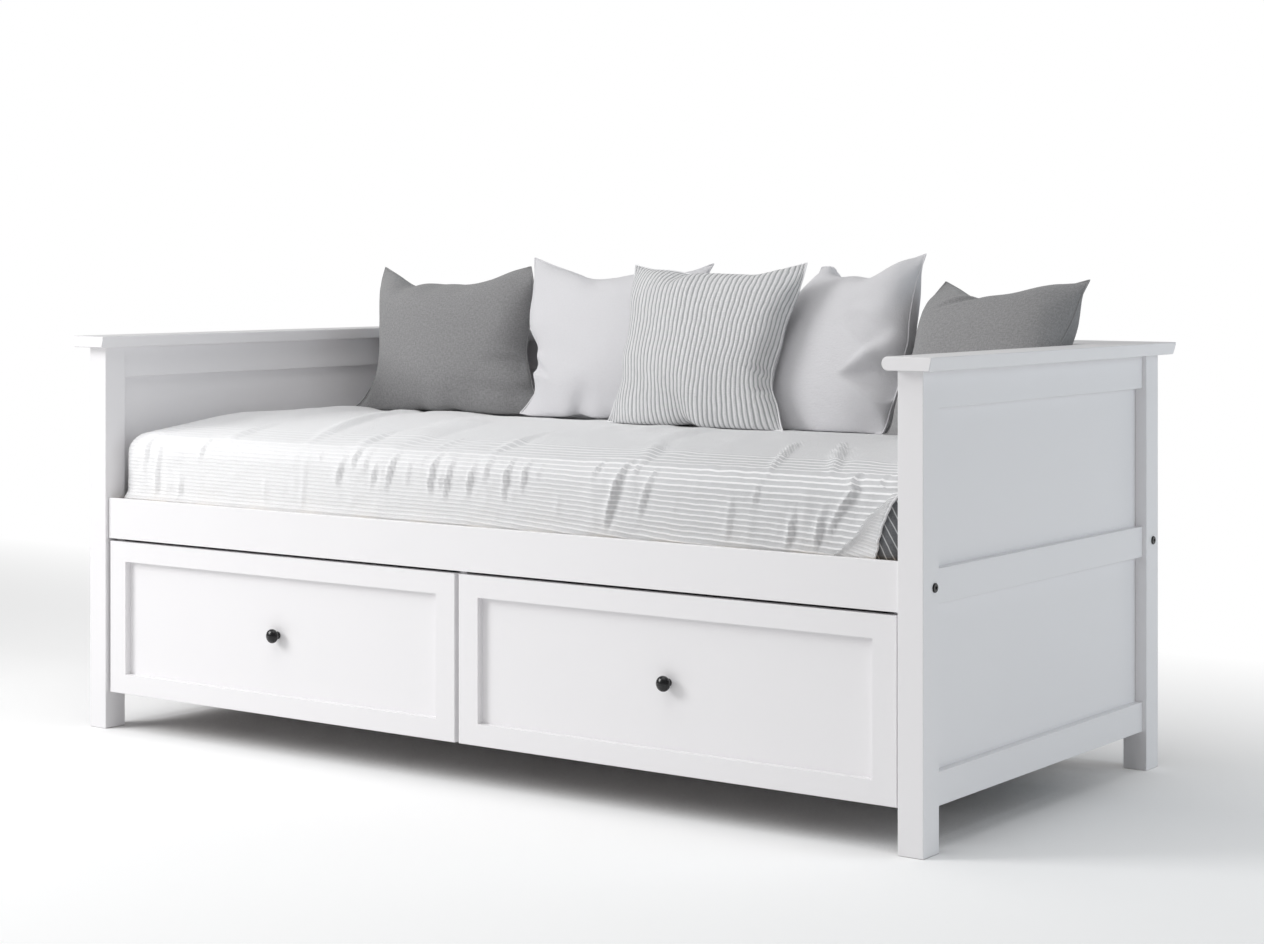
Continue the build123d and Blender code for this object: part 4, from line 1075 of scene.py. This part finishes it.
class SOFABED_OT_slats(bpy.types.Operator):
    """Makes both rows of slats and the screws that hold them"""

    bl_idname = "sofabed.slats"
    bl_label = "Slats"

    def execute(self, context):
        for node, body, name in (("fixed_slats", "frame", "slats_fixed"),
                                 ("moving_slats", "pull_out", "slats_moving")):
            low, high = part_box(node)
            pitch = (high.x - low.x - SLAT_WIDTH) / (SLAT_COUNT - 1)
            start = (low.x + SLAT_WIDTH / 2, low.y, (low.z + high.z) / 2)
            row = outward(grown(name, "Slat Row", [(0, 0, 0)], [], "bare_pine", Count=SLAT_COUNT, Start=start,
                                Pitch=pitch, Slat_Length=high.y - low.y, Width=SLAT_WIDTH,
                                Thickness=high.z - low.z, Edge_Radius=SLAT_EDGE))
            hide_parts(node)
            finish_piece(row, body, "bare_pine")
            model = screw_head()
            front, back = low.y + SCREW_FROM_END, high.y - SCREW_FROM_END
            places = [(start[0] + n * pitch + side * SCREW_FROM_MIDDLE, y, high.z - 0.0001)
                      for n in range(SLAT_COUNT) for side in (-1, 1)
                      for y in ((front, back) if body == "frame" else (front,))]
            screws = grown(name + "_screws", "Screw Heads", places, [], "zinc_steel", Screw=model, Seed=13)
            bpy.data.objects.remove(model)
            finish_piece(screws, body, "zinc_steel")
        return {"FINISHED"}


def block_outline(low, high, inset):
    """A mattress's plan drawn in by an inset, with the same count of points each time."""
    left, right, front, back = low.x + inset, high.x - inset, low.y + inset, high.y - inset
    radius = min(max(MATTRESS_CORNER - inset, 0.001), (back - front) / 2)
    columns, rows, steps = 34, 16, 8
    outline = []
    for cx, cy, turn, to_x, to_y, count in (
        (right - radius, front + radius, -90, 1, 0, columns), (right - radius, back - radius, 0, 0, 1, rows),
        (left + radius, back - radius, 90, -1, 0, columns), (left + radius, front + radius, 180, 0, -1, rows),
    ):
        length = (right - left if to_x else back - front) - 2 * radius
        places = [(length * (1 - n / count), turn) for n in range(1, count)]
        places += [(0.0, turn + 90 * n / steps) for n in range(steps + 1)]
        for short, angle in places:
            outline.append((cx - to_x * short + radius * math.cos(math.radians(angle)),
                            cy - to_y * short + radius * math.sin(math.radians(angle))))
    return outline


def padded_block(name, low, high, top_radius, crowned):
    """A mattress's cover: a rounded plan, soft edges above and below, closed all round."""
    reach = (high.y - low.y) / 2 - 0.004
    profile = [(inset, low.z) for inset in np.linspace(reach, MATTRESS_FOOT, 8)]
    for turn in np.linspace(0, math.pi / 2, 7)[1:]:
        profile.append((MATTRESS_FOOT * (1 - math.sin(turn)), low.z + MATTRESS_FOOT * (1 - math.cos(turn))))
    for turn in np.linspace(0, math.pi / 2, 9):
        profile.append((top_radius * (1 - math.cos(turn)), high.z - top_radius * (1 - math.sin(turn))))
    profile += [(inset, high.z) for inset in np.linspace(top_radius, reach, 12)[1:]]
    points = []
    for inset, height in profile:
        share = max(0.0, (height - low.z) / (high.z - low.z)) if crowned else 0.0
        for x, y in block_outline(low, high, inset):
            points.append((x, y, height - share * (y - CROWN_MIDDLE) ** 2 / (2 * CROWN_RADIUS)))
    return outward(mesh_piece(name, points, ring_faces(len(points) // len(profile), len(profile))))


class SOFABED_OT_mattresses(bpy.types.Operator):
    """Makes the two stacked mattresses with their piping"""

    bl_idname = "sofabed.mattresses"
    bl_label = "Mattresses"

    def execute(self, context):
        radius = context.scene.sofabed_bedding.piping_radius
        sunk = MATTRESS_FOOT * (1 - math.sin(math.pi / 4))
        for node, top_radius in (("lower_mattress", 0.020), ("upper_mattress", 0.040)):
            low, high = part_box(node)
            upper = node == "upper_mattress"
            piece = padded_block(node + "_cover", low, high, top_radius, upper)
            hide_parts(node)
            finish_piece(piece, "frame", "foam_in_ticking")
            edges = {"foot": low.z + sunk, "top": high.z - sunk}
            for label in ("foot",) if upper else ("foot", "top"):
                line = [(x, y, edges[label]) for x, y in block_outline(low, high, sunk)]
                piping(f"{node}_{label}_piping", line, radius, "off_white_cotton")
        return {"FINISHED"}


class SOFABED_OT_sheet(bpy.types.Operator):
    """Makes the striped sheet that shows where the spread's hem turns back"""

    bl_idname = "sofabed.sheet"
    bl_label = "Striped Sheet"

    def execute(self, context):
        drop = SPREAD_HIGH.x - SHEET_HIGH.x
        cover = Cover(SHEET_HIGH.x, SPREAD_LOW.y + drop, SHEET_HIGH.y, -drop, SHEET_LOW.z + 0.001,
                      SHEET_RADIUS, 200, 40, 7, 14)
        relief = cover_relief(cover, (), (), 0.2) * 0.35 - 0.0006
        points = cover.points + cover.normals() * relief[:, None]
        along, dx, dy = cover.place.T
        turn = np.arctan2(np.clip(dx, 0, 1), -dy)
        round_corner = cover.points[:, 0] + SHEET_RADIUS * (turn - np.sin(turn))
        round_corner += np.where(dx > 0.999, cover.points[:, 1] - cover.front, 0)
        down = cover.front + SHEET_RADIUS - along
        drawn = np.where((along > 0)[:, None], np.stack([round_corner, down], axis=1), cover.cloth)
        keep = points[:, 0] > SHEET_LOW.x
        faces = [loop for loop in cover.top_faces + [loop for _, loop in cover.skirt_faces]
                 if all(keep[v] for v in loop)]
        thickness = context.scene.sofabed_bedding.sheet_thickness
        piece, used = cloth_piece("sheet_striped", points, faces, drawn, thickness)
        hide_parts("striped_sheet")
        finish_piece(piece, "frame", "dark_striped_cotton")
        return {"FINISHED"}


class SOFABED_OT_bedspread(bpy.types.Operator):
    """Makes the bedspread with its folds and its hem turned back"""

    bl_idname = "sofabed.bedspread"
    bl_label = "Bedspread"

    def execute(self, context):
        settings = context.scene.sofabed_bedding
        cover, points, faces, front, first_cut = bedspread_cover(
            settings.spread_columns, settings.spread_rows)
        cloth = cover.cloth.copy()
        along, _, dy = cover.place.T
        crease = cover.front + SPREAD_RADIUS
        rib_share = np.interp(cover.points[:, 0], (-0.9, 0.0, 0.5, 0.9), (1.15, 1.10, 0.86, 0.78))
        drop = np.interp(along, (0.0, 0.030, 0.074, 0.250), (0.0, 0.014, 0.052, 0.228))
        on_top = crease + np.interp(cloth[:, 1] - crease, (0.0, 0.10, 1.0), (0.0, 0.036, 0.936))
        at_side = np.where(along > 0, cloth[:, 1], on_top)
        cloth[:, 1] = np.where(dy < -0.5, crease - drop * rib_share, at_side)
        past_ridge = points[:, 0] - ridge_place(points[:, 2])
        in_hem = hem_share(points) * (dy < -0.5) * np.clip(past_ridge / 0.006, 0, 1)
        cloth[:, 1] += in_hem * (0.9 * (points[:, 2] - HEM_HEIGHT) + 0.30 * past_ridge)
        piece, used = cloth_piece("bedspread_cloth", points, faces, cloth, settings.spread_thickness,
                                  turned_hem=in_hem)
        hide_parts("bedspread")
        finish_piece(piece, "frame", "ribbed_cotton")
        _, edge_y, edge_z = points[front[-1, first_cut:]].T
        heights = np.linspace(edge_z[0], edge_z[-1], 90)
        ruffle = np.sin(heights * 2 * math.pi / PUCKER_PITCH)
        line = np.stack([turned_edge(heights) + 0.0005 + 0.0006 * ruffle,
                         np.interp(-heights, -edge_z, edge_y) + 0.0010 - 0.0012 * ruffle, heights], axis=1)
        hem = piping("bedspread_turned_hem", line, HEM_RADIUS, "ribbed_cotton", closed=False)
        return {"FINISHED"}


# Cushions: corner tips in the order lower left, lower right, upper right, upper left; the inward
# offset of the seam at equal steps along each side (none along the bottom); creases in the front as
# start, end, half width at both, and depth, in the cushion's plane from the lower left tip
CUSHIONS = {
    "left_grey_cushion": dict(
        tips=((-0.957, 0.262, 0.681), (-0.413, 0.310, 0.702), (-0.483, 0.369, 1.023), (-0.941, 0.369, 1.022)),
        right=(0.015, 0.022, 0.033, 0.022, 0.012, 0.003, -0.006),
        top=(0.026, 0.060, 0.051, 0.048, 0.054, 0.035, 0.013),
        left=(0.045, 0.066, 0.066, 0.055, 0.046, 0.026, -0.002),
        thickness=0.200, back_share=0.65, fullness=1.2,
        creases=(((0.42, 0.11), (0.53, 0.09), 0.010, 0.028, 0.014),
                 ((0.33, 0.055), (0.50, 0.030), 0.007, 0.014, 0.004),
                 ((0.10, 0.05), (0.02, 0.02), 0.006, 0.014, 0.006)),
        slot="grey_linen", seed=1),
    "middle_white_cushion": dict(
        tips=((-0.412, 0.238, 0.696), (0.060, 0.250, 0.690), (0.041, 0.369, 1.030), (-0.471, 0.369, 1.044)),
        right=(0.020, 0.020, 0.020, 0.020, 0.020, 0.020, 0.020),
        top=(0.021, 0.038, 0.061, 0.047, 0.039, 0.036, 0.027),
        left=(0.050, 0.039, 0.059, 0.016, 0.009, 0.012, 0.005),
        thickness=0.155, back_share=0.8, fullness=0.9,
        creases=(((0.100, 0.070), (0.022, 0.104), 0.005, 0.016, 0.014),),
        slot="off_white_cotton", seed=2),
    "striped_cushion": dict(
        tips=((-0.065, 0.110, 0.692), (0.389, 0.110, 0.688), (0.382, 0.215, 1.032), (-0.065, 0.215, 1.028)),
        right=(0.021, 0.051, 0.053, 0.039, 0.034, 0.020, 0.005),
        top=(0.014, 0.015, 0.021, 0.025, 0.027, 0.028, 0.013),
        left=(0.012, 0.033, 0.021, 0.030, 0.026, 0.015, 0.005),
        thickness=0.150, back_share=0.6, fullness=0.8,
        creases=(((0.360, 0.125), (0.437, 0.092), 0.004, 0.012, 0.011),
                 ((0.375, 0.060), (0.441, 0.078), 0.004, 0.012, 0.010)),
        slot="striped_cotton", seed=3),
    "right_white_cushion": dict(
        tips=((0.153, 0.215, 0.688), (0.579, 0.190, 0.687), (0.599, 0.340, 1.051), (0.337, 0.350, 1.023)),
        right=(-0.008, -0.022, -0.019, -0.020, -0.004, 0.010, 0.008),
        top=(0.002, 0.039, 0.053, 0.055, 0.059, 0.036, 0.009),
        left=(0.020, 0.020, 0.020, 0.020, 0.020, 0.020, 0.020),
        thickness=0.155, back_share=1.2, fullness=0.8,
        creases=(((0.340, 0.080), (0.440, 0.085), 0.003, 0.044, 0.040),
                 ((0.330, 0.215), (0.430, 0.165), 0.014, 0.034, 0.010)),
        slot="off_white_cotton", seed=4),
    "right_grey_cushion": dict(
        tips=((0.607, 0.150, 0.676), (0.960, 0.130, 0.684), (0.984, 0.322, 0.998), (0.641, 0.350, 0.992)),
        right=(0.009, 0.015, 0.018, 0.018, 0.017, 0.011, 0.009),
        top=(0.020, 0.044, 0.058, 0.056, 0.049, 0.032, 0.014),
        left=(0.003, 0.003, 0.001, -0.004, -0.013, -0.017, -0.022),
        thickness=0.160, back_share=1.3, fullness=0.95,
        creases=(((0.050, 0.275), (0.135, 0.300), 0.004, 0.010, 0.011),
                 ((0.200, 0.120), (0.345, 0.060), 0.008, 0.022, 0.008)),
        slot="grey_linen", seed=5),
}


def cushion_plane(facts):
    """A cushion's four tips, and the middle lines of its plane to the right, up and forward."""
    tips = [np.array(tip, float) for tip in facts["tips"]]
    lower_left, lower_right, upper_right, upper_left = tips
    right = (lower_right + upper_right - lower_left - upper_left) / 2
    up = (upper_left + upper_right - lower_left - lower_right) / 2
    forward = np.cross(right, up)
    return tips, right, up, forward / np.linalg.norm(forward)


def pillow_blank(name, width, height, cell, seed):
    """A flat cover of two layers that meet in one seam, opened a little so that it can fill."""
    columns, rows = int(round(width / cell)), int(round(height / cell))
    points, cloth, number = [], [], {}
    for layer in (1, -1):
        for row in range(rows + 1):
            for column in range(columns + 1):
                edge = row in (0, rows) or column in (0, columns)
                if layer < 0 and edge:
                    number[(layer, column, row)] = number[(1, column, row)]
                    continue
                u, v = column / columns, row / rows
                depth = 0.0
                if not edge:
                    depth = layer * 0.030 * (math.sin(math.pi * u) * math.sin(math.pi * v)) ** 0.5
                    depth += noise.noise(Vector((u * 6, v * 6, seed * 3.3 + layer))) * 0.004
                number[(layer, column, row)] = len(points)
                points.append(((u - 0.5) * width, v * height, depth))
                cloth.append((u * width, v * height))
    faces = []
    for layer in (1, -1):
        for row in range(rows):
            for column in range(columns):
                quad = [number[(layer, column + a, row + b)] for a, b in ((0, 0), (1, 0), (1, 1), (0, 1))]
                faces.append(quad[::layer])
    border = [(c, 0) for c in range(columns)] + [(columns, r) for r in range(rows)]
    border += [(c, rows) for c in range(columns, 0, -1)] + [(0, r) for r in range(rows, 0, -1)]
    seam = [number[(1, c, r)] for c, r in border]
    return mesh_piece(name, points, faces, cloth), seam, columns, rows


def fill_pillow(piece, pressure, frames):
    """Fills the flat cover with pressure in a cloth simulation and makes the result real."""
    modifier = piece.modifiers.new("filling", "CLOTH")
    cloth = modifier.settings
    cloth.quality = 6
    cloth.mass = 0.25
    cloth.tension_stiffness = cloth.compression_stiffness = 25.0
    cloth.shear_stiffness = 12.0
    cloth.bending_stiffness = 0.25
    cloth.use_pressure = True
    cloth.uniform_pressure_force = pressure
    cloth.effector_weights.gravity = 0.0
    for frame in range(1, frames + 1):
        bpy.context.scene.frame_set(frame)
    relax = piece.modifiers.new("relax", "SMOOTH")
    relax.factor = 0.5
    relax.iterations = 24
    baked(piece)
    bpy.context.scene.frame_set(1)


def side_offsets(values, shares):
    """Inward offset of a seam along one side, from values at equal steps between its tips."""
    fine = np.linspace(0, 1, 101)
    line = np.interp(fine, np.linspace(0, 1, len(values) + 2), (0.0, *values, 0.0))
    weights = bell(np.linspace(-2, 2, 17), 1.0)
    line[8:-8] = np.convolve(line, weights / weights.sum(), "same")[8:-8]
    return np.interp(shares, fine, line)


def seat_cushion(piece, seam, columns, rows, facts):
    """Where the filled cover's points go, with its tips in place and its seam on its outline."""
    points = points_of(piece)
    corners = points[[seam[n] for n in (0, columns, columns + rows, 2 * columns + rows)]]
    low_y, high_y = corners[:2, 1].mean(), corners[2:, 1].mean()
    left_x, right_x = corners[[0, 3], 0].mean(), corners[[1, 2], 0].mean()
    coords = ((points[:, 0] - left_x) / (right_x - left_x), (points[:, 1] - low_y) / (high_y - low_y))
    sides = {
        "bottom": (seam[:columns + 1], 0, 1),
        "right": (seam[columns:columns + rows + 1], 1, 0),
        "top": (seam[columns + rows:2 * columns + rows + 1], 0, 1),
        "left": (seam[2 * columns + rows:] + [seam[0]], 1, 0),
    }
    (lower_left, lower_right, upper_right, upper_left), _, _, forward = cushion_plane(facts)
    width, height = np.linalg.norm(lower_right - lower_left), np.linalg.norm(upper_left - lower_left)
    moved = [coords[0].copy(), coords[1].copy()]
    for side, (line, run, rise) in sides.items():
        line = np.array(line)[np.argsort(coords[run][line])]
        at, level = coords[run][line], coords[rise][line]
        near = side in ("bottom", "left")
        wanted = side_offsets(facts.get(side, (0.0,)), np.clip(at, 0, 1)) / (height if rise else width)
        change = np.interp(coords[run], at, (wanted if near else 1 - wanted) - level)
        other = np.clip(coords[rise], 0, 1)
        moved[rise] += change * ((1 - other) ** 2 if near else other ** 2)
    a, b = moved[0][:, None], moved[1][:, None]
    place = (1 - a) * (1 - b) * lower_left + a * (1 - b) * lower_right + a * b * upper_right
    place += (1 - a) * b * upper_left
    depth = points[:, 2] * facts["thickness"] / np.ptp(points[:, 2])
    belly = np.abs(depth) / np.abs(depth).max()
    depth = depth * (belly + 1e-6) ** (facts["fullness"] - 1)
    depth = np.where(depth < 0, depth * facts["back_share"], depth)
    for corner_a, corner_b in ((0, 0), (1, 0), (1, 1), (0, 1)):
        away = np.hypot((moved[0] - corner_a) * width, (moved[1] - corner_b) * height)
        depth = depth * (1 - EAR_FLATNESS * bell(away, EAR_SIZE))
    place += depth[:, None] * forward
    place[:, 2] -= 0.060 * belly ** 0.6 * np.exp(-np.clip(moved[1], 0, 1) / 0.12)
    return place


def crease_cover(piece, facts):
    """Presses the creases into the front of a cushion and puckers the cloth beside its seam."""
    points = points_of(piece)
    tips, right, _, forward = cushion_plane(facts)
    right /= np.linalg.norm(right)
    flat_x, flat_y = (points - tips[0]) @ right, (points - tips[0]) @ np.cross(forward, right)
    depth = (points - sum(tips) / 4) @ forward
    push = np.zeros(len(points))
    for start, end, start_width, end_width, crease_depth in facts["creases"]:
        across, share, past = line_distance(flat_x, flat_y, start, end)
        half = start_width + (end_width - start_width) * np.clip(share, 0, 1.2)
        ends = bell(past, 0.006 + 0.02 * (share > 1)) * np.clip(share, 0, 1) ** 0.8
        push += ends * crease_depth * np.exp(-np.abs(across / half) ** 3.5)
        push -= ends * 0.25 * crease_depth * bell(np.abs(across) - 1.7 * half, 0.6 * half)
    loops = np.zeros(len(piece.data.loops), int)
    piece.data.loops.foreach_get("vertex_index", loops)
    coords = np.zeros(len(loops) * 2)
    piece.data.uv_layers["cloth"].data.foreach_get("uv", coords)
    flat = np.zeros((len(points), 2))
    flat[loops] = coords.reshape(-1, 2)
    from_side, from_end = np.minimum(flat, flat.max(0) - flat).T
    run = np.where(from_side < from_end, flat[:, 1], flat[:, 0])
    near = np.minimum(from_side, from_end)
    pucker = smooth_noise(run, near * 0.25, near * 0, 0.011, facts["seed"])
    pucker *= np.clip(near / 0.006, 0, 1) * bell(near, 0.024)
    points += (np.sign(depth) * 0.0022 * pucker - np.clip(depth / 0.02, 0, 1) * push)[:, None] * forward
    points[:, 2] = np.maximum(points[:, 2], bed_top(points[:, 1]) + 0.001)
    set_points(piece, points)


def rest_on(points, gap):
    """Presses the points up onto the bed and forward of the back wall, with soft contact."""
    floor = bed_top(points[:, 1]) + gap
    above = np.clip(points[:, 2] - floor, 0, None)
    points[:, 2] = floor + above * np.clip(above / 0.050, 0, 1) ** 0.7
    wall = np.where(points[:, 2] > CAP_LOW.z - 0.003, CAP_LOW.y - 0.002, BACK_LOW.y - 0.002)
    points[:, 1] = np.minimum(points[:, 1], wall)
    return points


class SOFABED_OT_cushions(bpy.types.Operator):
    """Fills, shapes and places the five cushions"""

    bl_idname = "sofabed.cushions"
    bl_label = "Cushions"

    def execute(self, context):
        settings = context.scene.sofabed_cushions
        for node, facts in CUSHIONS.items():
            tips = cushion_plane(facts)[0]
            bottom, right, top, left = (np.linalg.norm(tips[n] - tips[n - 3]) for n in range(4))
            width, height = COVER_EASE * (bottom + top) / 2, COVER_EASE * (left + right) / 2
            piece, seam, columns, rows = pillow_blank(
                node + "_cover", width, height, settings.cell, facts["seed"])
            fill_pillow(piece, settings.pressure, settings.frames)
            points = rest_on(seat_cushion(piece, seam, columns, rows, facts), 0.001)
            set_points(piece, points)
            modifier = piece.modifiers.new("smooth cover", "SUBSURF")
            modifier.levels = modifier.render_levels = 1
            baked(piece)
            crease_cover(piece, facts)
            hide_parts(node)
            finish_piece(piece, "frame", facts["slot"])
            piping(node + "_seam", points[seam], settings.seam_radius, facts["slot"])
        return {"FINISHED"}


class SOFABED_PT_panel(bpy.types.Panel):
    """Lists the steps that dress the sofa bed"""

    bl_label = "Sofa Bed"
    bl_idname = "SOFABED_PT_panel"
    bl_space_type = "VIEW_3D"
    bl_region_type = "UI"
    bl_category = "Sofa Bed"

    def draw(self, context):
        scene = context.scene
        for settings in (scene.sofabed_studio, scene.sofabed_bedding, scene.sofabed_cushions):
            box = self.layout.box()
            for name in settings.__annotations__:
                box.prop(settings, name)
        for step in STEPS:
            self.layout.operator(step.bl_idname)


STEPS = (
    SOFABED_OT_studio,
    SOFABED_OT_finishes,
    SOFABED_OT_caps,
    SOFABED_OT_slats,
    SOFABED_OT_mattresses,
    SOFABED_OT_sheet,
    SOFABED_OT_bedspread,
    SOFABED_OT_cushions,
)
CLASSES = (BeddingSizes, CushionSizes, StudioSettings, *STEPS, SOFABED_PT_panel)


def register():
    for item in CLASSES:
        bpy.utils.register_class(item)
    bpy.types.Scene.sofabed_bedding = PointerProperty(type=BeddingSizes)
    bpy.types.Scene.sofabed_cushions = PointerProperty(type=CushionSizes)
    bpy.types.Scene.sofabed_studio = PointerProperty(type=StudioSettings)


def unregister():
    del bpy.types.Scene.sofabed_studio
    del bpy.types.Scene.sofabed_cushions
    del bpy.types.Scene.sofabed_bedding
    for item in reversed(CLASSES):
        bpy.utils.unregister_class(item)


def main():
    """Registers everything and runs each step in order."""
    register()
    for step in STEPS:
        group, name = step.bl_idname.split(".")
        getattr(getattr(bpy.ops, group), name)()


if __name__ == "__main__":
    main()
